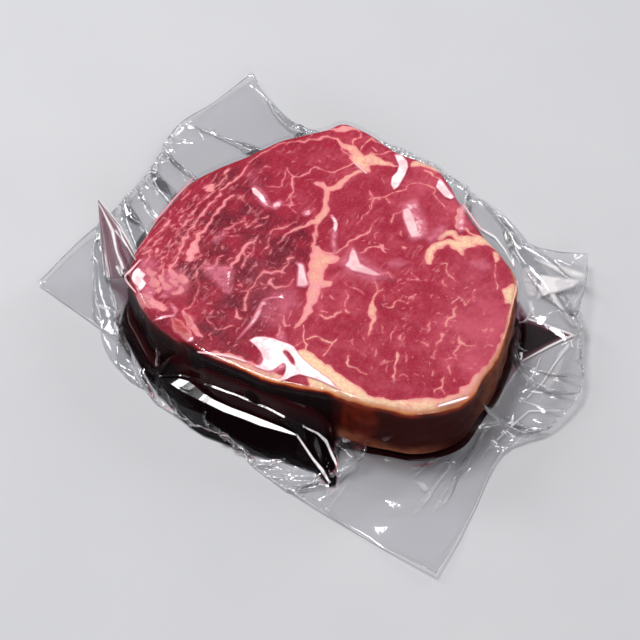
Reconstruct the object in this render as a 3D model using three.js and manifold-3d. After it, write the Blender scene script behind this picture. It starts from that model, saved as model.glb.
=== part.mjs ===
// Thick-cut raw boneless ribeye steak, vacuum-sealed in a clear film pouch.
// Millimetres, +Z up. The pouch lies on z = 0 and the cut face of the steak looks up.
// The steak is one solid; the pouch is one solid, open over the cut face, where the
// film is as thin as skin: a bottom web, a skirt that falls from the rim of the steak,
// and a flat border whose four corners stand free.
import * as THREE from 'three';
import { ConvexGeometry } from 'three/addons/geometries/ConvexGeometry.js';
import { mergeVertices } from 'three/addons/utils/BufferGeometryUtils.js';
import Module from 'manifold-3d';

const wasm = await Module();
wasm.setup();

// ---- the steak ----------------------------------------------------------------
const THICKNESS = 35;          // between the two cut faces
const EDGE_ROUND = 4.5;        // rounding of a cut face into the side
const SIDE_BULGE = 1.6;        // how far the side swells at mid height
const SEAM_DIP = 1.6;          // hollow of the face along the main fat seam
const SEAM_WIDTH = 9;
const MUSCLE_RISE = 1.4;       // swell of each muscle on the cut face

// Outer edge of the cut face, anticlockwise from the blunt right-hand corner.
const STEAK_EDGE = [
  [81, -5], [73, 13], [62, 35], [51, 56], [29, 71], [10, 81], [-8, 75], [-30, 65],
  [-54, 50], [-71, 24], [-78, 3], [-73, -13], [-58, -32], [-34, -48], [2, -60],
  [26, -66], [48, -67], [65, -52], [77, -29],
];

// Muscles on the cut face: middle, and half widths along X and Y.
const MUSCLES = [
  { name: 'eye', at: [42, -22], half: [30, 34] },
  { name: 'upper right', at: [38, 38], half: [20, 18] },
  { name: 'centre left', at: [-18, 12], half: [22, 30] },
  { name: 'cap', at: [-55, 18], half: [14, 26] },
];

// The main fat seam, from the apex down to the fat cap.
const MAIN_SEAM = [[12, 70], [2, 52], [0, 26], [-1, 6], [-6, -16], [-12, -38]];

// ---- the pouch ----------------------------------------------------------------
const WEB = 0.8;               // thickness of the two film webs, drawn as one sheet
const GAP = 0.35;              // clearance between steak and film
const LIP_BELOW_FACE = 3.2;    // top of the skirt, below the cut face
const SKIRT_RUN = 15;          // how far out the skirt takes to reach the border
const TENT_RUN = 24;           // the same where the film stands off, over the juice
const MOST_RUN = 0.8;          // of the pouch's width there, where that is narrow
const CLING = 1.9;             // how hollow the skirt falls: 1 straight, more hugs the steak
const TENT_CLING = 0.6;
const TENT_BEARING = 237;      // degrees, middle of that stretch
const TENT_SPREAD = 34;        // degrees, half of its length
const PLEATS = 22;             // folds running down the skirt, all round
const PLEAT_DEPTH = 1.8;

// Border of the pouch, side by side; the third number is its height over the ground.
const SIDES = {
  backRight: [[117, 29, 9], [104, 33, 6], [90, 40, 4], [70, 68, 3], [46, 91, 3], [20, 103, 3],
    [-14, 108, 3], [-33, 143, 5]],
  backLeft: [[-33, 143, 5], [-50, 127, 2], [-68, 108, 4], [-78, 84, 3], [-92, 58, 5],
    [-107, 40, 4], [-123, 18, 3]],
  frontLeft: [[-123, 18, 3], [-104, 3, 1], [-86, -12, 3], [-71, -38, 1], [-54, -53, 3],
    [-38, -60, 4], [-25, -74, 1], [-6, -88, 3], [16, -103, 1], [44, -120, 4]],
  frontRight: [[44, -120, 4], [60, -93, 1], [74, -66, 2], [95, -55, 5], [108, -38, 8],
    [107, -12, 15], [114, 12, 13], [117, 29, 9]],
};

// The pinched ear of film that stands beside the left-hand tip of the steak: its tip,
// then its foot, which is sunk in the skirt.
const EAR = [
  [-98, 38, 35], [-95, 36, 35], [-81, 10, 30], [-80.2, 14, 26], [-96, 9, 1.5], [-86, 3, 1.5], [-83, 17, 4],
];

// ---- how finely it is drawn ---------------------------------------------------
const STEPS_PER_SIDE = 34;
const SIDE_LEVELS = [0.3, 0.55, 0.8];
const FACE_RINGS = [0.88, 0.74, 0.59, 0.44, 0.29, 0.14];
const TOP_STAGES = [2, 1.7, 1.4, 1.18, 1, 0.8, 0.6, 0.4, 0.22, 0.08];
const UNDER_STAGES = [1, 1.4, 1.7, 2];
const ROUND_STEPS = [0.25, 0.55, 1];

// Eases from 0 at one value to 1 at another, whichever of the two is the greater.
function ease(from, to, value) {
  const share = THREE.MathUtils.clamp((value - from) / (to - from), 0, 1);
  return share * share * (3 - 2 * share);
}

// ---- curves in plan -----------------------------------------------------------

function curveThrough(points, closed) {
  const knots = points.map(([x, y, z = 0]) => new THREE.Vector3(x, y, z));
  return new THREE.CatmullRomCurve3(knots, closed, 'centripetal');
}

const bearingOf = (point) => Math.atan2(point.y, point.x);

// How far a closed curve lies from the middle, on any bearing, read off a fine walk round it.
function reachOf(curve, walk = 1600) {
  const marks = curve.getSpacedPoints(walk)
    .slice(0, walk)
    .map((point) => ({ bearing: bearingOf(point), reach: Math.hypot(point.x, point.y) }))
    .sort((a, b) => a.bearing - b.bearing);
  const first = marks[0];
  const last = marks[marks.length - 1];
  marks.unshift({ bearing: last.bearing - 2 * Math.PI, reach: last.reach });
  marks.push({ bearing: first.bearing + 2 * Math.PI, reach: first.reach });
  return (bearing) => {
    const next = Math.max(1, marks.findIndex((mark) => mark.bearing >= bearing));
    const a = marks[next - 1];
    const b = marks[next];
    const share = (bearing - a.bearing) / (b.bearing - a.bearing);
    return THREE.MathUtils.lerp(a.reach, b.reach, share);
  };
}

const steakReach = reachOf(curveThrough(STEAK_EDGE, true));

// Every ring of both solids is drawn on the same bearings, those of the border's points,
// so that the facets of the film lie parallel to the facets of the steak.
const border = Object.values(SIDES).flatMap((points) => {
  const side = curveThrough(points, false);
  return Array.from({ length: STEPS_PER_SIDE }, (_, step) => side.getPointAt(step / STEPS_PER_SIDE));
});
const rays = border.map((edge) => {
  const bearing = bearingOf(edge);
  return { edge, bearing, reach: steakReach(bearing), span: Math.hypot(edge.x, edge.y) };
});

const onRay = (ray, distance, height) => new THREE.Vector3(
  distance * Math.cos(ray.bearing),
  distance * Math.sin(ray.bearing),
  height,
);

// ---- a closed skin over rings, with a point at either end -----------------------

function skin(start, rings, end) {
  const around = rays.length;
  const points = [start, ...rings.flat(), end];
  const faces = [];
  const at = (ring, step) => 1 + ring * around + (step % around);
  for (let step = 0; step < around; step += 1) {
    faces.push(0, at(0, step + 1), at(0, step));
    faces.push(points.length - 1, at(rings.length - 1, step), at(rings.length - 1, step + 1));
    for (let ring = 0; ring + 1 < rings.length; ring += 1) {
      const a = at(ring, step);
      const b = at(ring, step + 1);
      const c = at(ring + 1, step + 1);
      const d = at(ring + 1, step);
      faces.push(a, b, c, a, c, d);
    }
  }
  const geometry = new THREE.BufferGeometry().setFromPoints(points);
  geometry.setIndex(faces);
  geometry.computeVertexNormals();
  return geometry;
}

// ---- two closed shapes joined into one ------------------------------------------

function asSolid(geometry) {
  const bare = new THREE.BufferGeometry();
  bare.setAttribute('position', geometry.getAttribute('position'));
  bare.setIndex(geometry.getIndex());
  const merged = mergeVertices(bare, 1e-4);
  return new wasm.Manifold(new wasm.Mesh({
    numProp: 3,
    vertProperties: new Float32Array(merged.attributes.position.array),
    triVerts: new Uint32Array(merged.index.array),
  }));
}

function joined(first, second) {
  const mesh = asSolid(first).add(asSolid(second)).getMesh();
  const geometry = new THREE.BufferGeometry();
  geometry.setAttribute('position', new THREE.BufferAttribute(mesh.vertProperties, 3));
  geometry.setIndex(new THREE.BufferAttribute(mesh.triVerts, 1));
  geometry.computeVertexNormals();
  return geometry;
}

// ---- the steak's form ---------------------------------------------------------

function distanceToPath(x, y, path) {
  const place = new THREE.Vector2(x, y);
  let nearest = Infinity;
  for (let i = 0; i + 1 < path.length; i += 1) {
    const from = new THREE.Vector2(...path[i]);
    const along = new THREE.Vector2(...path[i + 1]).sub(from);
    const share = THREE.MathUtils.clamp(place.clone().sub(from).dot(along) / along.lengthSq(), 0, 1);
    nearest = Math.min(nearest, place.distanceTo(from.addScaledVector(along, share)));
  }
  return nearest;
}

// Height of the cut face over its flat: muscles swell a little, the main seam lies lower.
function faceRelief(x, y) {
  let relief = 0;
  for (const { at, half } of MUSCLES) {
    const away = ((x - at[0]) / half[0]) ** 2 + ((y - at[1]) / half[1]) ** 2;
    relief += MUSCLE_RISE * Math.exp(-away);
  }
  const seam = distanceToPath(x, y, MAIN_SEAM) / SEAM_WIDTH;
  return relief - SEAM_DIP * Math.exp(-seam * seam);
}

// The side's distance out from the edge curve, at a share of the full height.
const sideSwell = (share) => SIDE_BULGE * (4 * share * (1 - share)) - SIDE_BULGE / 2;

const steakBase = WEB + GAP;
const steakTop = steakBase + THICKNESS;
const lipHeight = steakTop - LIP_BELOW_FACE;

const steakRing = (inset, height) => rays.map((ray) => onRay(ray, ray.reach - inset, height));

function steakGeometry() {
  const corner = (turn) => {
    const angle = turn * (Math.PI / 2);
    return { inset: EDGE_ROUND * (1 - Math.sin(angle)), drop: EDGE_ROUND * (1 - Math.cos(angle)) };
  };
  const foot = steakBase + EDGE_ROUND;
  const shoulder = steakTop - EDGE_ROUND;
  const level = (share) => foot + share * (shoulder - foot);
  const heightShare = (height) => (height - steakBase) / THICKNESS;
  const lower = ROUND_STEPS.map((turn) => {
    const { inset, drop } = corner(turn);
    const height = steakBase + drop;
    return steakRing(inset - sideSwell(heightShare(height)), height);
  });
  const side = SIDE_LEVELS.map((share) => steakRing(-sideSwell(heightShare(level(share))), level(share)));
  const upper = [...ROUND_STEPS].reverse().map((turn) => {
    const { inset, drop } = corner(turn);
    const height = steakTop - drop;
    return steakRing(inset - sideSwell(heightShare(height)), height);
  });
  const face = FACE_RINGS.map((share) => rays.map((ray) => {
    const point = onRay(ray, share * (ray.reach - EDGE_ROUND), steakTop);
    point.z += faceRelief(point.x, point.y) * ease(1, 0.8, share);
    return point;
  }));
  const under = rays.map((ray) => onRay(ray, ray.reach - EDGE_ROUND - SIDE_BULGE, steakBase));
  const middle = new THREE.Vector3(0, 0, steakTop + faceRelief(0, 0));
  return skin(new THREE.Vector3(0, 0, steakBase), [under, ...lower, ...side, ...upper, ...face], middle);
}

// ---- the pouch's form ---------------------------------------------------------

function turnBetween(bearing, degrees) {
  const turn = THREE.MathUtils.radToDeg(bearing) - degrees;
  return Math.abs(THREE.MathUtils.euclideanModulo(turn + 180, 360) - 180);
}

// Distance from the middle to the film where it leaves the steak.
const lipReach = (ray) => ray.reach + GAP + SIDE_BULGE / 2;

// The juice under the film holds it off the steak on one stretch of the skirt.
const tentAt = (ray) => ease(TENT_SPREAD, TENT_SPREAD / 3, turnBetween(ray.bearing, TENT_BEARING));

// How far out, and how high over the ground, a stage of the film lies on a ray: stages
// 0 to 1 fall from the lip to the foot of the skirt, 1 to 2 cross the border to its edge.
function filmStage(ray, stage) {
  const start = lipReach(ray) + WEB;
  const width = ray.span - start;
  const run = Math.min(THREE.MathUtils.lerp(SKIRT_RUN, TENT_RUN, tentAt(ray)), MOST_RUN * width);
  const out = stage < 1 ? stage * run : run + (stage - 1) * (width - run);
  return { distance: start + out, lift: ray.edge.z * ease(1, 2, stage) };
}

const filmUnder = (ray, stage) => {
  const { distance, lift } = filmStage(ray, stage);
  return onRay(ray, distance, lift);
};

function filmTop(ray, stage) {
  const { distance, lift } = filmStage(ray, stage);
  const fall = Math.max(0, 1 - stage);
  const steepness = THREE.MathUtils.lerp(CLING, TENT_CLING, tentAt(ray));
  const slack = 4 * fall * (1 - fall);
  const pleat = PLEAT_DEPTH * slack * Math.cos(PLEATS * ray.bearing);
  return onRay(ray, distance, WEB + lift + (lipHeight - WEB) * fall ** steepness + pleat);
}

function pouchGeometry() {
  const wall = (height, out) => rays.map((ray) => onRay(ray, lipReach(ray) + out, height));
  const ring = (place, stage) => rays.map((ray) => place(ray, stage));
  const foot = rays.map((ray) => onRay(ray, ray.reach * 0.9, 0));
  const below = UNDER_STAGES.map((stage) => ring(filmUnder, stage));
  const above = TOP_STAGES.map((stage) => ring(filmTop, stage));
  const within = [lipHeight, (lipHeight + WEB) / 2, WEB].map((height) => wall(height, 0));
  const rings = [foot, ...below, ...above, wall(lipHeight, WEB), ...within];
  const body = skin(new THREE.Vector3(0, 0, 0), rings, new THREE.Vector3(0, 0, WEB));
  const ear = new ConvexGeometry(EAR.map((point) => new THREE.Vector3(...point)));
  return joined(body, ear);
}

// ---- the whole, set over the middle of its own outline --------------------------

const steak = new THREE.Mesh(
  steakGeometry(),
  new THREE.MeshStandardMaterial({ color: 0xb3414f, roughness: 0.42, metalness: 0 }),
);
steak.name = 'steak';

const pouch = new THREE.Mesh(
  pouchGeometry(),
  new THREE.MeshStandardMaterial({
    color: 0xd9d6da, roughness: 0.12, metalness: 0, transparent: true, opacity: 0.4,
  }),
);
pouch.name = 'pouch';

const group = new THREE.Group();
group.add(steak, pouch);
const outline = new THREE.Box3().setFromObject(group);
group.position.x = -(outline.min.x + outline.max.x) / 2;
group.position.y = -(outline.min.y + outline.max.y) / 2;

export default group;
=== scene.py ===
"""Thick-cut raw boneless ribeye steak, vacuum-sealed in a clear film pouch with its juice.

Three pieces stand for the two solids of the frame: the steak, the film, and the dark juice
that lies between them. Shapes are worked out in millimetres on the pouch's own plan, then
put into the frame in metres by in_frame().
"""
import math

import bpy
import numpy as np
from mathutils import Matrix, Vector


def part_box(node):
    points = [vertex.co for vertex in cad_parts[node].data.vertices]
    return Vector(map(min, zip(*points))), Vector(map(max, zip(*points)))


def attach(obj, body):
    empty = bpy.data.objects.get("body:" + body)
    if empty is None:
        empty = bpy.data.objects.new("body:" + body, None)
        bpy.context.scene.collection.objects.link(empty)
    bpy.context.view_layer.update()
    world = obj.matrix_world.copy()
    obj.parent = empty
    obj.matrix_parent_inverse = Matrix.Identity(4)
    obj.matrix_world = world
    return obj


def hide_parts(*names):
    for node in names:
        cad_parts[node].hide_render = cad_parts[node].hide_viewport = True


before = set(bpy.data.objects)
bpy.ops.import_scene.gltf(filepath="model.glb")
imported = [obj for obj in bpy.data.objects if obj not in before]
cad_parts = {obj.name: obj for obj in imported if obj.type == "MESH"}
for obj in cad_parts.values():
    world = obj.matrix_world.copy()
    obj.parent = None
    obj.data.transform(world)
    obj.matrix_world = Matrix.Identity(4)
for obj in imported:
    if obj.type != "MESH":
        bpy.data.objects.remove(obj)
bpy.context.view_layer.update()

# ---- sizes, in millimetres ------------------------------------------------------------
THICKNESS = 35.0            # of the steak, between its cut faces
EDGE_ROUND = 3.4            # rounding of a cut face into the side
SIDE_BULGE = 1.6            # how far the side swells at mid height
SEAM_DIP = 1.6              # hollow of the face along the main fat seam
SEAM_WIDTH = 9.0
MUSCLE_RISE = 1.4           # swell of each muscle on the cut face
FILM_OFF = 0.55             # film stands this far off the meat
FLOOR_GAP = 0.12            # underside of the pouch over the ground

# Outer edge of the cut face, anticlockwise from the blunt right-hand corner.
STEAK_EDGE = [
    (80.8, -5), (79, 2), (73, 12.5), (67.5, 21), (61, 35), (56.5, 45), (52, 55.5), (45.5, 59.5),
    (35, 65), (28, 70.5), (21, 77), (10.5, 82.5), (3, 79), (-17, 72.5), (-30, 64.5), (-41, 58.5),
    (-54, 50), (-63, 38), (-71, 24), (-77, 11), (-79, -2), (-74.5, -12), (-68, -23), (-55.5, -34),
    (-45.5, -42), (-33.5, -48), (-20, -54.5), (-4, -58.5), (8, -61), (16, -64), (27, -66.5),
    (37, -68.5), (47.5, -67), (57.5, -62), (64.5, -52), (71, -41.5), (75.5, -29.5), (78.5, -18),
    (80.5, -10),
]
# Muscles: middle, and half widths along X and Y.
MUSCLES = [
    ((42, -22), (30, 34)), ((38, 38), (20, 18)), ((-18, 12), (22, 30)), ((-55, 18), (14, 26)),
]
MAIN_SEAM = [(12, 70), (2, 52), (0, 26), (-1, 6), (-6, -16), (-12, -38)]

# Border of the pouch, side by side; the third number is its height over the ground.
BACK_RIGHT = [
    (117, 29, 9), (104, 33, 6), (90, 40, 4), (70, 68, 3), (46, 91, 3), (20, 103, 3),
    (-14, 108, 3), (-33, 143, 5),
]
BACK_LEFT = [
    (-33, 143, 5), (-50, 127, 2), (-68, 108, 4), (-78, 84, 3), (-92, 58, 5), (-107, 40, 4),
    (-123, 18, 3),
]
FRONT_LEFT = [
    (-123, 18, 3), (-104, 3, 1), (-86, -12, 3), (-71, -38, 1), (-54, -53, 3), (-38, -60, 4),
    (-25, -74, 1), (-6, -88, 3), (16, -103, 1), (44, -120, 4),
]
FRONT_RIGHT = [
    (44, -120, 4), (60, -93, 1), (74, -66, 2), (95, -55, 5), (108, -38, 8), (107, -12, 15),
    (114, 12, 13), (117, 29, 9),
]

# ---- the view ---------------------------------------------------------------------------
VIEW_PIXELS = 640
VIEW_DISTANCE = 620.0       # camera to the middle of the pouch
VIEW_ELEVATION = 55.0       # degrees over the ground
PIXEL_SIZE = 0.43           # millimetres a view pixel covers at that distance
SENSOR = 36.0
EDGE_HEIGHT = 35.0          # height at which pixels of the cut face are laid


# ---- curves -----------------------------------------------------------------------------

def curve_through(points, closed, count):
    """Centripetal Catmull-Rom curve: cubic arcs through the points, whose tangents weigh
    their neighbours by the square root of the chord; count samples equally far apart."""
    knots = np.asarray(points, float)
    if closed:
        row = np.vstack([knots[-1], knots, knots[0], knots[1]])
    else:
        row = np.vstack([2 * knots[0] - knots[1], knots, 2 * knots[-1] - knots[-2]])
    share = np.linspace(0, 1, 40, endpoint=False)[:, None]
    arcs = []
    for p0, p1, p2, p3 in zip(row, row[1:], row[2:], row[3:]):
        a, b, c = (max(np.sqrt(np.linalg.norm(q - p)), 1e-6) for p, q in ((p0, p1), (p1, p2), (p2, p3)))
        leave = b * ((p1 - p0) / a - (p2 - p0) / (a + b) + (p2 - p1) / b)
        reach = b * ((p2 - p1) / b - (p3 - p1) / (b + c) + (p3 - p2) / c)
        cube, square = share ** 3, share ** 2
        arcs.append((2 * cube - 3 * square + 1) * p1 + (cube - 2 * square + share) * leave
                    + (3 * square - 2 * cube) * p2 + (cube - square) * reach)
    fine = np.vstack(arcs + [knots[:1] if closed else knots[-1:]])
    run = np.r_[0, np.cumsum(np.linalg.norm(np.diff(fine, axis=0), axis=1))]
    stops = np.linspace(0, run[-1], count + 1 if closed else count)
    samples = np.stack([np.interp(stops, run, column) for column in fine.T], 1)
    return samples[:-1] if closed else samples


def ease(start, end, value):
    """Rises from 0 at start to 1 at end as 3s^2 - 2s^3, whichever of the two is greater."""
    share = np.clip((value - start) / (end - start), 0, 1)
    return share * share * (3 - 2 * share)


def reach_table(points):
    """Bearings all round and, for each, the distance from the middle to the closed curve."""
    rim = curve_through(points, True, 720)
    bearing = np.arctan2(rim[:, 1], rim[:, 0])
    order = np.argsort(bearing)
    bearing = bearing[order]
    reach = np.hypot(rim[:, 0], rim[:, 1])[order]
    around = np.linspace(-np.pi, np.pi, 1441)
    wrapped = np.r_[bearing[-1] - 2 * np.pi, bearing, bearing[0] + 2 * np.pi]
    return around, np.interp(around, wrapped, np.r_[reach[-1], reach, reach[0]])


BEARINGS, REACHES = reach_table(STEAK_EDGE)
# cosine of the angle between the bearing and the square to the edge
SQUARENESS = 1 / np.sqrt(1 + (np.gradient(REACHES, BEARINGS) / REACHES) ** 2)

BORDERS = [np.asarray(side, float) for side in (BACK_RIGHT, BACK_LEFT, FRONT_LEFT, FRONT_RIGHT)]
CORNER_B, CORNER_A, CORNER_D, CORNER_C = (side[0] for side in BORDERS)

pouch_low, pouch_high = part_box("pouch")
steak_low, steak_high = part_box("steak")
plan = np.vstack([curve_through(side, False, 200) for side in BORDERS])
SHIFT = np.array([
    (pouch_low.x + pouch_high.x) * 500 - (plan[:, 0].min() + plan[:, 0].max()) / 2,
    (pouch_low.y + pouch_high.y) * 500 - (plan[:, 1].min() + plan[:, 1].max()) / 2,
    0.0,
])
STEAK_BASE = steak_low.z * 1000
STEAK_TOP = STEAK_BASE + THICKNESS


def in_frame(points):
    """Millimetres on the pouch's plan to metres in the frame."""
    return (np.asarray(points, float).reshape(-1, 3) + SHIFT) / 1000


TILT = math.radians(VIEW_ELEVATION)
EYE = VIEW_DISTANCE * np.array([0, -math.cos(TILT), math.sin(TILT)])
AHEAD = np.array([0, math.cos(TILT), -math.sin(TILT)])
UPWARD = np.array([0, math.sin(TILT), math.cos(TILT)])
FOCAL = VIEW_DISTANCE / PIXEL_SIZE      # in view pixels


def on_face(pixels, height=EDGE_HEIGHT):
    """Points of the view, in pixels, laid on a level plane: the ray through each pixel,
    from the camera, is followed down to that height. Millimetres on the plan."""
    pixels = np.asarray(pixels, float)
    across = (pixels[..., 0] - VIEW_PIXELS / 2) / FOCAL
    rise = (VIEW_PIXELS / 2 - pixels[..., 1]) / FOCAL
    ray = AHEAD + across[..., None] * np.array([1.0, 0, 0]) + rise[..., None] * UPWARD
    travel = (height - EYE[2]) / ray[..., 2]
    return (EYE + ray * travel[..., None])[..., :2]


def in_view(points):
    """View pixels of points on the plan: their offsets across and up, over their depth."""
    offset = points - EYE
    scale = FOCAL / (offset @ AHEAD)
    return VIEW_PIXELS / 2 + offset[..., 0] * scale, VIEW_PIXELS / 2 - (offset @ UPWARD) * scale


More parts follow.
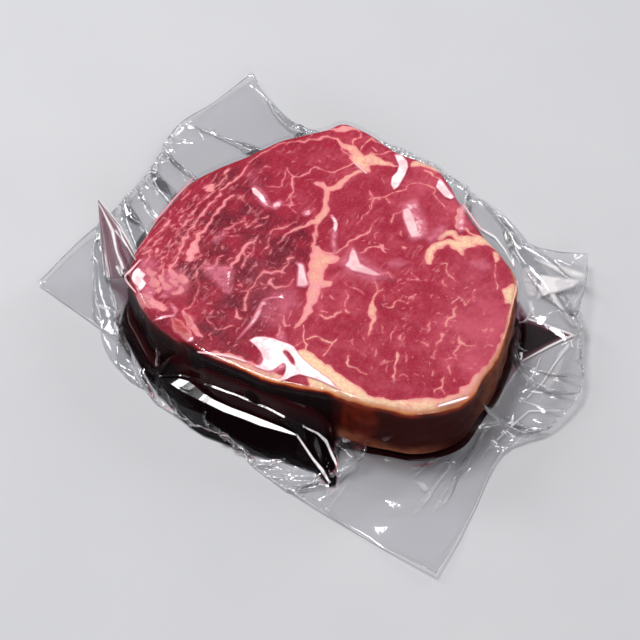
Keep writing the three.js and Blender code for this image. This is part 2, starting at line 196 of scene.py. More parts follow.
# ---- fat in the cut face ------------------------------------------------------------------
# Veins and seams of fat: x and y in view pixels, then the width there in millimetres.
SEAMS = [
    # the main seam, from the apex down to the fat cap, with its lobes
    [(336, 140, 1.09), (343, 145, 2.06), (352, 149, 3.6), (357, 156, 5.5), (362, 164, 7), (366, 171, 2.92)],
    [(361, 163, 6), (371, 161, 6), (380, 164, 4.6), (389, 166, 2.34), (398, 168, .91)],
    [(327, 131, .5), (338, 132, 2.06), (345, 130, 3.4), (355, 130, 1.53), (362, 133, .5)],
    [(366, 172, 1.78), (356, 174, 2.63), (347, 179, 2.63), (340, 185, 2.92), (333, 189, 3.18), (327, 189, 2.92),
     (322, 184, 3.4), (317, 183, 2.34)],
    [(327, 190, 2.63), (326, 199, 2.34), (326, 208, 2.92), (323, 215, 3.6), (317, 221, 3.4), (310, 224, 2.34),
     (302, 228, 1.19), (295, 233, .83), (288, 237, .62), (283, 242, .56), (279, 247, .37)],
    [(318, 222, .62), (316, 232, .62), (314, 242, .83), (313, 250, 2.06)],
    [(316, 250, 4), (318, 258, 6.5), (318, 266, 7), (316, 274, 6.6), (317, 282, 6.6), (315, 290, 5.4),
     (312, 298, 4), (310, 305, 3.4), (308, 311, 3.18), (304, 317, 3.18), (300, 321, 1.53), (295, 328, .5)],
    [(321, 257, 4), (329, 260, 5), (336, 260, 2.92)],
    [(320, 284, 4.4), (328, 285, 3.6)],
    [(321, 252, .91), (334, 255, .99), (343, 251, .68), (350, 244, .68), (360, 238, .83), (369, 234, .62),
     (373, 226, .37), (379, 222, .35)],
    # the notch of fat at the right
    [(429, 264, 2.92), (429, 257, 4), (433, 250, 3.6), (443, 246, 2.92), (452, 245, 4), (460, 250, 4.6), (461, 257, 1.53)],
    [(440, 241, 2.06), (447, 235, 2.92), (454, 236, 2.34), (461, 242, 2.92), (470, 242, 5), (480, 242, 4.6),
     (489, 243, 4), (496, 248, 1.53)],
    [(455, 244, 3.4), (463, 246, 4.6), (472, 246, 4)],
    [(414, 166, 2.92), (421, 164, 4), (429, 166, 4.6), (437, 170, 4), (443, 174, 1.53)],
    [(424, 172, .62), (432, 175, 1.09), (438, 180, .62)],
    [(464, 206, .91), (461, 212, 2.92), (459, 219, 3.4), (458, 226, 2.92), (459, 232, .75)],
    [(459, 228, .62), (468, 233, 1.09), (478, 237, .91)],
    [(495, 255, 2.06), (497, 260, 2.06), (496, 264, .62)],
    [(495, 266, .35), (495, 281, .35), (497, 288, 1.09), (496, 292, .5)],
    # veins of the upper muscle
    [(248, 164, .56), (262, 155, .68), (278, 146, .68), (290, 143.5, .5), (302, 143.5, .5), (313, 141, .68),
     (329, 138, .99), (336, 140, 1.29)],
    [(353, 165, .83), (345, 167, .62), (335, 172, .83), (329, 171, .83), (323, 169, .68), (316, 168, .62),
     (310, 170, .62), (306, 176, .56), (294, 179, .62), (292, 186, .91), (292, 191, .83), (291, 200, .62),
     (291, 210, .5), (295, 215, .37)],
    [(295, 179, .5), (289, 175, .5), (286, 170, .62)],
    [(287, 173, .5), (283, 180, .5), (282, 188, .56), (279, 190, .43), (266, 188, .43)],
    [(291, 200, .5), (285, 203, .43)],
    [(283, 208, .37), (295, 207, .37)],
    [(363, 133, .43), (360, 139, .56), (353, 142, .5), (351, 148, .43)],
    [(380, 144, .62), (370, 141, .62), (365, 145, .5), (362, 151, .43)],
    [(370, 139, .5), (376, 143, .83), (385, 143, .43)],
    [(370, 155, .56), (383, 157, .62), (391, 153, .62)],
    [(373, 149, .75), (375, 152, .62)],
    [(341, 148, .5), (349, 156, .56), (356, 163, .75)],
    # veins of the upper right muscle
    [(370, 202, .62), (383, 201, .5), (393, 197, .5), (405, 193, .56), (409, 188, .5), (418, 186, .56),
     (429, 188, .56), (436, 191, .62), (432, 196, .56), (439, 202, .5), (444, 209, .56)],
    [(380, 202, .5), (374, 201, .43), (368, 194, .37)],
    [(374, 201, .5), (372, 205, .43), (372, 210, .43), (368, 215, .43), (363, 220, .37), (357, 226, .37)],
    [(383, 201, .37), (392, 205, .35)],
    [(402, 213, .35), (393, 219, .37), (392, 226, .35)],
    [(380, 250, .62), (368, 250, .68), (361, 256, .5)],
    [(382, 248, 1.53), (386, 255, .75)],
    [(403, 250, 1.09), (405, 251, .91)],
    # flecks of the eye, large ones first
    [(375, 282, .43), (376, 288, .56), (378, 294, .62), (374, 301, .75), (372, 308, 2.06), (372, 317, 2.78),
     (373, 325, 1.78), (369, 336, .5)],
    [(378, 294, .43), (383, 293, .37)],
    [(345, 283, .37), (348, 288, .56), (355, 291, .5), (363, 296, .43)],
    [(345, 293, .43), (348, 299, .56), (346, 307, .56), (348, 316, .37)],
    [(330, 296, .37), (333, 301, .56)], [(321, 292, .43), (322, 300, .37)],
    [(319, 315, .56), (323, 319, .83), (334, 319, .75), (338, 314, .62), (342, 312, .43)],
    [(320, 311, .37), (328, 315, .37)],
    [(303, 325, .56), (305, 335, .62), (304, 340, .62), (307, 345, .68), (306, 350, .62)],
    [(296, 345, .43), (303, 341, .43)],
    [(308, 338, .5), (318, 339, .5), (322, 342, .56), (332, 344, .62), (337, 341, .43)],
    [(332, 344, .5), (328, 352, .5), (323, 357, .56)],
    [(379, 274, .43), (389, 276, .5), (393, 281, .5)],
    [(412, 275, .43), (417, 283, .5), (408, 284, .43)],
    [(383, 309, .43), (390, 311, .56), (398, 304, .5), (406, 307, .62), (408, 305, .37)],
    [(414, 297, .43), (410, 302, .43)],
    [(441, 267, .37), (446, 266, .56), (447, 274, .5), (451, 280, .5), (455, 283, .56)],
    [(451, 307, .56), (458, 300, .62), (466, 308, .62), (469, 303, .43)],
    [(455, 310, .56), (452, 319, 1.29), (448, 325, .99), (445, 329, .68)], [(444, 320, .43), (450, 321, .62)],
    [(474, 293, .37), (472, 298, .37), (474, 303, .37)],
    [(430, 324, .37), (429, 331, .56), (426, 335, .37)],
    [(443, 337, .99), (441, 342, .75), (437, 348, .56), (434, 354, .43), (433, 361, .43)],
    [(421, 347, .37), (427, 348, .43), (429, 345, .37)],
    [(460, 339, .56), (460, 346, 2.06), (466, 348, .62), (472, 347, .43)],
    [(460, 347, .68), (454, 356, .56), (456, 358, .5)], [(452, 359, .37), (445, 363, .43)],
    [(480, 331, .5), (487, 331, .43)], [(491, 321, .37), (489, 325, .37)],
    [(396, 331, .37), (391, 338, .56), (390, 344, .56)], [(399, 338, .37), (400, 342, .37)],
    [(396, 354, .5), (398, 360, 1.19), (396, 370, .83), (393, 378, .68), (395, 382, .5)],
    [(432, 373, .37), (433, 379, .43)], [(449, 369, .62), (450, 375, .56)], [(454, 381, .5), (454, 384, .5)],
    [(444, 379, .5), (441, 387, .62), (437, 390, .62), (435, 395, .37)], [(440, 391, .43), (445, 396, .37)],
    [(348, 358, .43), (346, 364, .68), (348, 368, .5), (360, 372, .43), (367, 376, .56)],
    [(382, 364, .56), (383, 365, .56)], [(442, 284, .62), (443, 287, .5)], [(427, 283, .5), (428, 285, .37)],
    # veins of the centre left muscle
    [(297, 225, .37), (285, 230, .37), (274, 233, .43), (269, 239, .5), (268, 248, .56), (267, 253, .75)],
    [(294, 259, .43), (288, 263, .56), (287, 269, .62), (281, 274, .68), (271, 277, .62), (267, 274, 1.19),
     (262, 276, .62), (257, 284, .5), (250, 291, .5), (247, 298, .62), (245, 306, .56), (245, 312, .43)],
    [(294, 281, .37), (290, 286, .56), (284, 289, .56), (275, 289, .68), (270, 287, 1.53), (271, 282, .91)],
    [(240, 294, .37), (248, 294, .35)], [(262, 285, .62), (263, 287, .62)], [(280, 275, .75), (283, 276, .5)],
    [(240, 225, .43), (245, 220, .56), (247, 230, .43), (255, 225, .37), (266, 220, .43)],
    [(254, 232, .37), (262, 227, .37)], [(241, 199, .5), (244, 204, .43)], [(264, 169, .35), (269, 168, .35)],
    [(258, 241, .62), (250, 247, 1.09), (243, 253, 1.41), (239, 260, 1.29), (233, 267, 1.1), (231, 271, .77),
     (224, 270, .64)],
    [(243, 254, .5), (247, 259, .62), (245, 267, .5), (242, 270, .43)], [(254, 247, .5), (252, 256, .43), (248, 260, .43)],
    [(224, 239, .35), (225, 232, .37), (232, 229, .35), (239, 226, .43), (245, 220, .5)],
    [(227, 238, .35), (239, 239, .37)], [(202, 270, .37), (215, 268, .47), (219, 260, .42), (224, 258, .47)],
    [(283, 316, .37), (284, 325, .5), (289, 325, .43)], [(292, 313, .37), (289, 319, .35)],
    [(214, 313, .35), (208, 320, .35), (210, 325, .35), (216, 330, .35), (224, 331, .35), (232, 328, .35)],
    [(236, 313, .5), (238, 318, 1.41), (241, 321, .56)], [(276, 336, .56), (279, 331, .62), (281, 327, .35)],
    # the cap muscle at the left, its veins run along it
    [(247, 167, .5), (243, 175, .68), (236, 181, .91), (229, 186, .84), (221, 194, .77), (216, 202, .84),
     (209, 209, .92), (203, 216, 1.01), (199, 225, .84), (191, 232, .77), (187, 240, .77), (182, 249, .84),
     (178, 258, .77)],
    [(234, 198, .64), (227, 203, 1.2), (222, 209, 1.2), (217, 216, 1.01), (212, 223, .92), (207, 230, 1.1),
     (200, 237, 1.3), (197, 245, 2.34), (194, 253, 4), (190, 261, 3.6)],
    [(227, 177, .47), (219, 186, .53), (214, 191, .77), (209, 199, .53), (200, 204, .47), (197, 209, .47),
     (194, 216, .53), (188, 225, .53), (182, 231, .53), (179, 234, .47), (178, 240, .47), (174, 247, .42), (168, 256, .42)],
    [(176, 226, .42), (171, 229, .42), (178, 233, .37)], [(184, 231, .37), (181, 226, .37)],
    [(209, 192, 2.92), (214, 186, 1.3), (205, 189, .92)], [(227, 172, 1.51), (224, 176, .77)],
    [(169, 222, 1.1), (166, 227, 1.51)], [(182, 219, .92), (180, 222, .64)], [(158, 251, 1.3), (156, 254, .92)],
    [(149, 231, 1.1), (148, 236, 1.3)], [(164, 230, .37), (156, 236, .42), (148, 244, .37), (142, 252, .42)],
    [(155, 243, .47), (160, 241, .37)], [(198, 197, .42), (193, 202, .42)], [(190, 192, .35), (185, 198, .37)],
    [(144, 256, .64), (151, 252, .64), (147, 264, .47)], [(168, 256, .42), (163, 262, .53), (160, 271, .47)],
    [(178, 262, .92), (172, 268, 1.1), (169, 274, 1.3)],
    [(149, 272, 2.6), (153, 276, 3.4)], [(152, 282, 3), (156, 285, 3.4)], [(158, 292, 2.4), (161, 289, 1.6)],
    [(161, 279, 1.6), (163, 283, 2)], [(170, 273, 2), (175, 278, 3.6)], [(181, 279, 3), (184, 284, 3.4)],
    [(176, 286, 3.2), (172, 283, 2.6)], [(181, 292, 3.4), (176, 294, 2.8)], [(168, 290, 2.8), (165, 286, 2)],
    [(164, 266, .42), (163, 274, .53), (162, 281, .42)],
    [(195, 267, .35), (197, 278, .35), (199, 290, .35), (196, 299, .35), (193, 308, .42), (184, 310, .47)],
    [(183, 313, 1.3), (188, 320, 2.63), (193, 329, 2.92), (198, 335, 2.06), (202, 339, .77)],
    [(138, 295, 2.4), (144, 299, 4.4), (151, 303, 5), (159, 307, 4), (165, 311, 2)],
    [(174, 321, 2.4), (180, 328, 4.6), (186, 335, 4), (190, 340, 2)],
]
# Fields of fat, bounded in view pixels; they run out past the edge of the face.
FAT_FIELDS = [
    # the fat cap, from the foot of the main seam round the front and up the right side
    [(297, 351), (305, 350), (330, 368), (343, 378), (359, 388), (368, 397), (381, 399), (406, 402),
     (426, 400), (444, 400), (458, 393), (468, 385), (476, 375), (486, 365), (494, 356), (500, 343),
     (505, 328), (509, 312), (510, 305), (503, 304), (504, 290), (512, 286), (560, 280), (570, 500),
     (330, 500), (309, 393), (307, 380), (297, 362)],
    # its thin stretch, along the front left
    [(198, 350), (204, 352), (222, 354), (240, 358), (262, 369), (276, 373), (284, 379), (286, 392),
     (283, 440), (170, 420), (180, 345)],
]
# Tone of the lean: x, y and radius in view pixels, then 0 for the brightest, 1 for the darkest.
TONES = [
    (420, 330, 55, .38), (385, 287, 36, .38), (462, 288, 36, .26), (478, 338, 40, -.08), (350, 330, 30, .40),
    (400, 375, 40, .38), (430, 205, 35, .10), (395, 215, 40, .34), (350, 215, 30, .44), (335, 160, 28, .30),
    (290, 160, 40, .50), (245, 180, 25, .76), (300, 200, 20, .40), (290, 245, 22, .78), (265, 262, 30, .80),
    (230, 245, 28, .70), (224, 225, 22, .90), (246, 298, 30, .95), (215, 300, 26, .66), (225, 335, 22, .76),
    (250, 330, 20, .60), (190, 308, 14, .45), (187, 275, 10, .90), (198, 240, 16, .66), (165, 245, 22, .50),
    (200, 200, 22, .52), (290, 300, 18, .22), (295, 335, 22, .32), (380, 150, 22, .36), (440, 240, 20, .50),
    (345, 285, 24, .16), (490, 275, 18, .34),
]
# Darkest lean, in soft strokes, and painted shade along the groove between the eye and the upper right muscle: x and y
# in view pixels, then the width there in millimetres.
DARKS = [
    [(237, 173, 1), (217, 192, 2.4), (205, 206, 2), (199, 213, 2.4), (193, 223, 2.6), (183, 236, 2.4),
     (171, 251, 2)],
    [(229, 206, 2), (219, 220, 3), (208, 236, 2), (203, 246, 1.6)],
    [(187, 262, 1), (195, 268, 2.6), (197, 282, 3.4), (196, 297, 3), (190, 305, 1.6)],
    [(262, 240, 3), (276, 246, 5), (290, 243, 5), (299, 234, 3)],
    [(240, 262, 2), (256, 266, 4), (274, 262, 5), (290, 252, 3)],
    [(262, 297, 1.6), (272, 291, 3), (284, 295, 2)], [(226, 292, 2), (236, 302, 3), (240, 320, 2)],
    [(215, 330, 2), (228, 342, 3), (238, 348, 2)], [(404, 240, 2), (414, 240, 3), (423, 240, 2)],
    # painted shade along the groove between the eye and the upper right muscle
    [(331, 273, .6), (345, 270, .8), (360, 273, .8), (378, 278, .8), (392, 285, .6)],
    [(206, 259, 2), (214, 248, 2.4), (220, 240, 1.6)], [(250, 207, 2), (244, 214, 3), (232, 222, 2)],
]
# Colour of the fat: x, y and radius in view pixels, then 0 for pink, 1 for cream.
FAT_TONES = [
    (318, 270, 26, .46), (322, 262, 6, 1.1), (315, 277, 5, .9), (319, 288, 6, .2), (362, 162, 20, .74), (325, 205, 26, .6), (430, 168, 16, .85), (465, 245, 30, .85),
    (430, 257, 14, .85), (372, 315, 16, .8), (452, 315, 18, .7), (330, 375, 34, 1), (385, 400, 30, .9),
    (430, 403, 24, .8), (508, 297, 12, .9), (490, 365, 26, .6), (460, 395, 14, .5), (230, 360, 30, .6),
    (180, 285, 20, .42), (195, 240, 30, .15), (290, 190, 30, .1), (152, 304, 14, -.15), (182, 331, 12, -.6),
    (196, 327, 10, -.05), (155, 282, 12, .5),
    (260, 270, 40, .05), (345, 132, 16, .4), (462, 345, 20, .6),
]

# Where fine threads of fat run between the veins: x, y and radius in view pixels, then share.
THREADS = [
    (175, 245, 34, 1), (205, 205, 24, .9), (225, 185, 18, .8), (160, 275, 24, 1), (240, 260, 34, .5),
    (270, 290, 34, .45), (230, 315, 30, .35), (300, 180, 40, .30), (400, 215, 50, .25), (420, 330, 70, .12),
    (350, 260, 26, .3), (440, 255, 22, .5),
]


def stroke_distance(x, y, strokes):
    """Distance from each place to the nearest stroke, less the stroke's half width there:
    every stretch of a stroke is a capsule whose width changes evenly from end to end."""
    nearest = np.full(x.shape, 99.0)
    for stroke in strokes:
        marks = np.asarray(stroke, float)
        path = on_face(marks[:, :2])
        half = marks[:, 2] / 2
        for start, end, from_half, to_half in zip(path, path[1:], half, half[1:]):
            along = end - start
            share = ((x - start[0]) * along[0] + (y - start[1]) * along[1]) / (along @ along)
            share = np.clip(share, 0, 1)
            away = np.hypot(x - start[0] - share * along[0], y - start[1] - share * along[1])
            nearest = np.minimum(nearest, away - from_half - share * (to_half - from_half))
    return nearest


def field_distance(x, y, border):
    """Distance to the border of a closed field, less than 0 inside it (even-odd rule)."""
    away = np.full(x.shape, 999.0)
    inside = np.zeros(x.shape, bool)
    for start, end in zip(border, np.roll(border, -1, axis=0)):
        along = end - start
        share = ((x - start[0]) * along[0] + (y - start[1]) * along[1]) / (along @ along)
        share = np.clip(share, 0, 1)
        away = np.minimum(away, np.hypot(x - start[0] - share * along[0], y - start[1] - share * along[1]))
        spans = (start[1] > y) != (end[1] > y)
        crossing = start[0] + (y - start[1]) * along[0] / (along[1] if along[1] else 1e-9)
        inside ^= spans & (x < crossing)
    return np.where(inside, -away, away)


def blended(x, y, spots, base):
    """Each spot counts as a bell curve of its distance; values are averaged by those."""
    total = np.full(x.shape, 0.04)
    value = total * base
    for px, py, radius, tone in spots:
        middle = on_face((px, py))
        weight = np.exp(-((x - middle[0]) ** 2 + (y - middle[1]) ** 2) / (radius * PIXEL_SIZE) ** 2)
        total = total + weight
        value = value + weight * tone
    return value / total


# Fine flecks scattered in each muscle: middle and radius in view pixels, how many, their
# direction in degrees and how far they stray from it.
FLECK_FIELDS = [
    ((420, 330), 75, 150, 70, 60), ((400, 215), 55, 26, 40, 60), ((300, 175), 45, 26, 12, 30),
    ((235, 255), 55, 70, 40, 60), ((180, 235), 45, 90, 52, 18), ((240, 320), 45, 50, 40, 60),
    ((160, 270), 26, 40, 60, 40), ((345, 250), 40, 10, 50, 60),
]
FLECK_SEED = 11


def fleck_strokes():
    """Short bent strokes: each starts at a random place of its field, and turns once."""
    draw = np.random.default_rng(FLECK_SEED)
    strokes = []
    for (px, py), radius, count, direction, stray in FLECK_FIELDS:
        for _ in range(count):
            angle = draw.uniform(0, 2 * np.pi)
            away = radius * np.sqrt(draw.uniform())
            place = np.array([px + away * np.cos(angle), py + away * np.sin(angle) * 0.8])
            heading = np.radians(direction + draw.normal(0, stray))
            turned = heading + draw.normal(0, 0.7)
            length = draw.uniform(0.8, 4.0)
            width = draw.uniform(0.2, 0.6)
            middle = place + length * np.array([np.cos(heading), -np.sin(heading)])
            end = middle + 0.7 * length * np.array([np.cos(turned), -np.sin(turned)])
            strokes.append([(*place, width * 0.5), (*middle, width), (*end, width * 0.4)])
    return strokes


# ---- meshes ---------------------------------------------------------------------------------

def make_piece(name, points, faces, material):
    """A smooth-shaded mesh object at the origin, from points in plan millimetres."""
    mesh = bpy.data.meshes.new(name)
    mesh.from_pydata(in_frame(points).tolist(), [], faces)
    mesh.polygons.foreach_set("use_smooth", np.ones(len(mesh.polygons), bool))
    mesh.materials.append(material)
    mesh.update()
    piece = bpy.data.objects.new(name, mesh)
    bpy.context.collection.objects.link(piece)
    return piece


def paint(piece, name, values):
    """One number for each point of the piece, for its material to read."""
    layer = piece.data.attributes.new(name, "FLOAT", "POINT")
    layer.data.foreach_set("value", np.asarray(values, np.float32))


def quads(index):
    """The four-cornered faces of a grid of point numbers."""
    corners = (index[:-1, :-1], index[:-1, 1:], index[1:, 1:], index[1:, :-1])
    return np.stack(corners, -1).reshape(-1, 4)


def face_relief(x, y):
    """Height of the cut face over its flat: each muscle swells as a bell curve, and the
    main seam lies lower, as a bell curve of the distance from it."""
    relief = np.zeros_like(x)
    for (mx, my), (wide, deep) in MUSCLES:
        relief += MUSCLE_RISE * np.exp(-((x - mx) / wide) ** 2 - ((y - my) / deep) ** 2)
    nearest = np.full(x.shape, 999.0)
    for start, end in zip(np.asarray(MAIN_SEAM, float), np.asarray(MAIN_SEAM[1:], float)):
        along = end - start
        share = np.clip(((x - start[0]) * along[0] + (y - start[1]) * along[1]) / (along @ along), 0, 1)
        nearest = np.minimum(nearest, np.hypot(x - start[0] - share * along[0], y - start[1] - share * along[1]))
    return relief - SEAM_DIP * np.exp(-(nearest / SEAM_WIDTH) ** 2)


def waves(x, y, wavelength, seed, count=24):
    """Soft random relief: a sum of plane waves in seeded directions, about 1 high."""
    draw = np.random.default_rng(seed)
    total = np.zeros_like(x)
    for _ in range(count):
        angle = draw.uniform(0, 2 * np.pi)
        stretch = draw.uniform(0.7, 1.5)
        phase = draw.uniform(0, 2 * np.pi)
        turn = 2 * np.pi / (wavelength * stretch)
        total += np.cos(turn * (x * np.cos(angle) + y * np.sin(angle)) + phase)
    return total / np.sqrt(count)


GRID = 250                  # points along each side of the square that becomes the cut face
CORNER_STEPS = 7
SIDE_STEPS = 12


def disc_grid(count):
    """A square grid drawn into a disc: square rings become round ones, evenly spread.
    Gives each point's bearing and its share of the way out."""
    line = np.linspace(-1, 1, count)
    a, b = np.meshgrid(line, line)
    a = np.where(np.abs(a) < 1e-9, 1e-9, a)
    b = np.where(np.abs(b) < 1e-9, 1e-9, b)
    wide = np.abs(a) > np.abs(b)
    share = np.where(wide, a, b)
    angle = np.where(wide, np.pi / 4 * b / a, np.pi / 2 - np.pi / 4 * a / b)
    bearing = np.arctan2(share * np.sin(angle), share * np.cos(angle))
    return bearing, np.abs(share)


def ring_of(index):
    """The point numbers round the border of a grid, anticlockwise."""
    return np.r_[index[0, :-1], index[:-1, -1], index[-1, :0:-1], index[:0:-1, 0]]


def reach_at(bearing):
    return np.interp(bearing, BEARINGS, REACHES)


def side_swell(height):
    """The side's distance out from the edge curve: a parabola of the height."""
    share = (height - STEAK_BASE) / THICKNESS
    return SIDE_BULGE * (4 * share * (1 - share)) - SIDE_BULGE / 2


def steak_points():
    """The cut face as a disc grid, then rings down the rounded edge, the side and the
    lower edge, each at its own inset from the edge curve, then the underside."""
    bearing, share = disc_grid(GRID)
    inner = reach_at(bearing) - EDGE_ROUND - side_swell(STEAK_TOP) * -1
    x = share * inner * np.cos(bearing)
    y = share * inner * np.sin(bearing)
    z = STEAK_TOP + face_relief(x, y) * ease(1, 0.8, share)
    z += 0.12 * np.clip(waves(x, y, 7, 5), -2, 2) * ease(1, 0.93, share)
    index = np.arange(GRID * GRID).reshape(GRID, GRID)
    ring = ring_of(index)
    around = bearing.ravel()[ring]
    points = [np.stack([x, y, z], -1).reshape(-1, 3)]
    faces = [quads(index)]
    last = ring
    turn = np.linspace(0, np.pi / 2, CORNER_STEPS + 1)[1:]
    top_arc = [(EDGE_ROUND * (1 - np.sin(t)), STEAK_TOP - EDGE_ROUND * (1 - np.cos(t))) for t in turn]
    side = [(0, h) for h in np.linspace(STEAK_TOP - EDGE_ROUND, STEAK_BASE + EDGE_ROUND, SIDE_STEPS + 1)[1:-1]]
    low_arc = [(inset, 2 * STEAK_BASE + THICKNESS - height) for inset, height in top_arc[::-1]]
    under = [(EDGE_ROUND, STEAK_BASE), (EDGE_ROUND + 12, STEAK_BASE)]
    count = GRID * GRID
    for inset, height in top_arc + side + low_arc + under:
        reach = reach_at(around) - inset + side_swell(height)
        band = ease(STEAK_BASE, STEAK_BASE + 8, height) * ease(STEAK_TOP, STEAK_TOP - 5, height)
        reach = reach + band * (0.5 * waves(around * 70, np.full(around.shape, height), 16, 8)
                                + 0.22 * waves(around * 70, np.full(around.shape, height * 0.6), 5, 9))
        points.append(np.stack([reach * np.cos(around), reach * np.sin(around), np.full(around.shape, height)], 1))
        now = np.arange(count, count + len(around))
        faces.append(np.stack([last, now, np.roll(now, -1), np.roll(last, -1)], 1))
        last = now
        count += len(around)
    points.append(np.array([[0, 0, STEAK_BASE]]))
    faces = np.vstack(faces).tolist()
    faces += np.stack([np.roll(last, -1), last, np.full(last.shape, count)], 1).tolist()
    return np.vstack(points), faces


def juice_stain_and_shade(bearing, away, height):
    """How dark the side is painted: partly juice, and partly painted shade on the side turned from
    the lamps, deepening from the edge of the face down, most quickly over the shelf of juice,
    slowly at the left tip where lumps of fat stand out. Above 1 it is black, with juice and shade."""
    degrees = np.degrees(bearing) % 360
    front = ease(212, 219, degrees) * ease(368, 350, degrees)
    tip = ease(176, 186, degrees) * ease(216, 208, degrees)
    shelf = ease(206, 214, degrees) * ease(277, 272, degrees)
    quick = ease(STEAK_TOP - 0.4, STEAK_TOP - 5.4, height)
    at_once = ease(STEAK_TOP - 0.4, STEAK_TOP - 3.4, height)
    slow = ease(STEAK_TOP - 2.5, STEAK_TOP - 8, height)
    depth = quick * (1 - shelf) + 1.6 * at_once * shelf
    depth = depth * (1 - tip) + 1.3 * slow * tip
    thin = 1 - 0.26 * ease(276, 279, degrees) * ease(292, 284, degrees)
    at_edge = ease(4.4, 2.4, reach_at(bearing) - away)
    return depth * (0.62 + 0.38 * np.maximum(front, tip)) * thin * at_edge


def foot_glow(bearing, height):
    """Fat at the foot of the front that the juice has left bare, in two patches, painted with an orange glow of light.
    """
    degrees = np.degrees(bearing) % 360
    left = ease(275, 278, degrees) * ease(288, 281, degrees) * ease(3, 6, height) * ease(16, 9, height)
    right = ease(283, 290, degrees) * ease(310, 298, degrees) * ease(12, 3, height)
    return left + right


def rim_blush(bearing, away):
    """Fresh red of the rim along the back left, where no fat covers it."""
    degrees = np.degrees(bearing) % 360
    from_edge = reach_at(bearing) - away
    return ease(84, 92, degrees) * ease(152, 140, degrees) * ease(4.5, 2.2, from_edge)


def make_steak(material):
    points, faces = steak_points()
    x, y, z = points.T
    lean_in = 1 - 0.012 * ease(STEAK_TOP, STEAK_BASE, z)     # the pattern leans a little with depth
    px, py = x * lean_in, y * lean_in
    wander = 0.45 * waves(px, py, 6, 21)
    wander_y = 0.45 * waves(px, py, 6, 22)
    px, py = px + wander, py + wander_y
    fat = stroke_distance(px, py, SEAMS)
    for field in FAT_FIELDS:
        fat = np.minimum(fat, field_distance(px, py, on_face(field)))
    piece = make_piece("ribeye", points, faces, material)
    bearing = np.arctan2(y, x)
    paint(piece, "fat", np.clip(fat, -8, 8))
    paint(piece, "fleck", np.clip(stroke_distance(px, py, fleck_strokes()), -2, 4))
    # darkest lean, with painted shade along one groove
    dark = ease(2.2, -1.0, stroke_distance(px, py, DARKS))
    tone = blended(px, py, TONES, 0.45)
    paint(piece, "tone", tone + dark * 0.46 * (1 - tone))
    paint(piece, "cream", blended(px, py, FAT_TONES, 0.45))
    paint(piece, "threads", blended(px, py, THREADS, 0.1))
    # juice on the side and painted shade, darker down from the top edge
    paint(piece, "stain_and_shade", juice_stain_and_shade(bearing, np.hypot(x, y), z))
    # bare fat at the foot of the front, painted with a glow of light
    paint(piece, "glow", foot_glow(bearing, z))
    paint(piece, "front", ease(228, 240, np.degrees(bearing) % 360) + ease(20, 10, np.degrees(bearing) % 360))
    paint(piece, "blush", rim_blush(bearing, np.hypot(x, y)))
    degrees = np.degrees(bearing) % 360
    paint(piece, "bare", 0.05 * ease(274, 282, degrees) + 0.95 * ease(312, 326, degrees) + ease(20, 10, degrees))
    return piece


# ---- materials --------------------------------------------------------------------------------

def linear(code):
    """An sRGB hex colour as linear red, green, blue and 1."""
    parts = [int(code[i:i + 2], 16) / 255 for i in (1, 3, 5)]
    return tuple(c / 12.92 if c <= 0.04045 else ((c + 0.055) / 1.055) ** 2.4 for c in parts) + (1.0,)


def add(tree, kind, inputs=None, **settings):
    """Adds one shader node: its own settings by name, its inputs by name or number, each a
    constant or another node's output."""
    made = tree.nodes.new("ShaderNode" + kind)
    for name, value in settings.items():
        setattr(made, name, value)
    for key, value in (inputs or {}).items():
        if isinstance(value, bpy.types.NodeSocket):
            tree.links.new(value, made.inputs[key])
        else:
            made.inputs[key].default_value = value
    return made


def blank(name):
    material = bpy.data.materials.new(name)
    material.use_nodes = True
    material.node_tree.nodes.clear()
    return material, material.node_tree


def mixed(tree, share, first, second):
    """Colour between first and second."""
    node = add(tree, "Mix", {0: share, 6: first, 7: second}, data_type="RGBA")
    return node.outputs[2]


def math_of(tree, operation, *values):
    node = add(tree, "Math", dict(enumerate(values)), operation=operation)
    return node.outputs[0]


def ranged(tree, value, low, high, to_low=0.0, to_high=1.0):
    """Follows value from low to high, smoothly, and gives to_low to to_high."""
    node = add(tree, "MapRange", {0: value, 1: low, 2: high, 3: to_low, 4: to_high}, interpolation_type="SMOOTHSTEP")
    return node.outputs[0]


def attribute(tree, name):
    return add(tree, "Attribute", attribute_name=name).outputs["Fac"]


def noise(tree, place, period, detail=3.0, rough=0.55):
    """Noise whose blobs are period millimetres across."""
    return add(tree, "TexNoise", {"Vector": place, "Scale": 1000 / period, "Detail": detail, "Roughness": rough}).outputs[0]


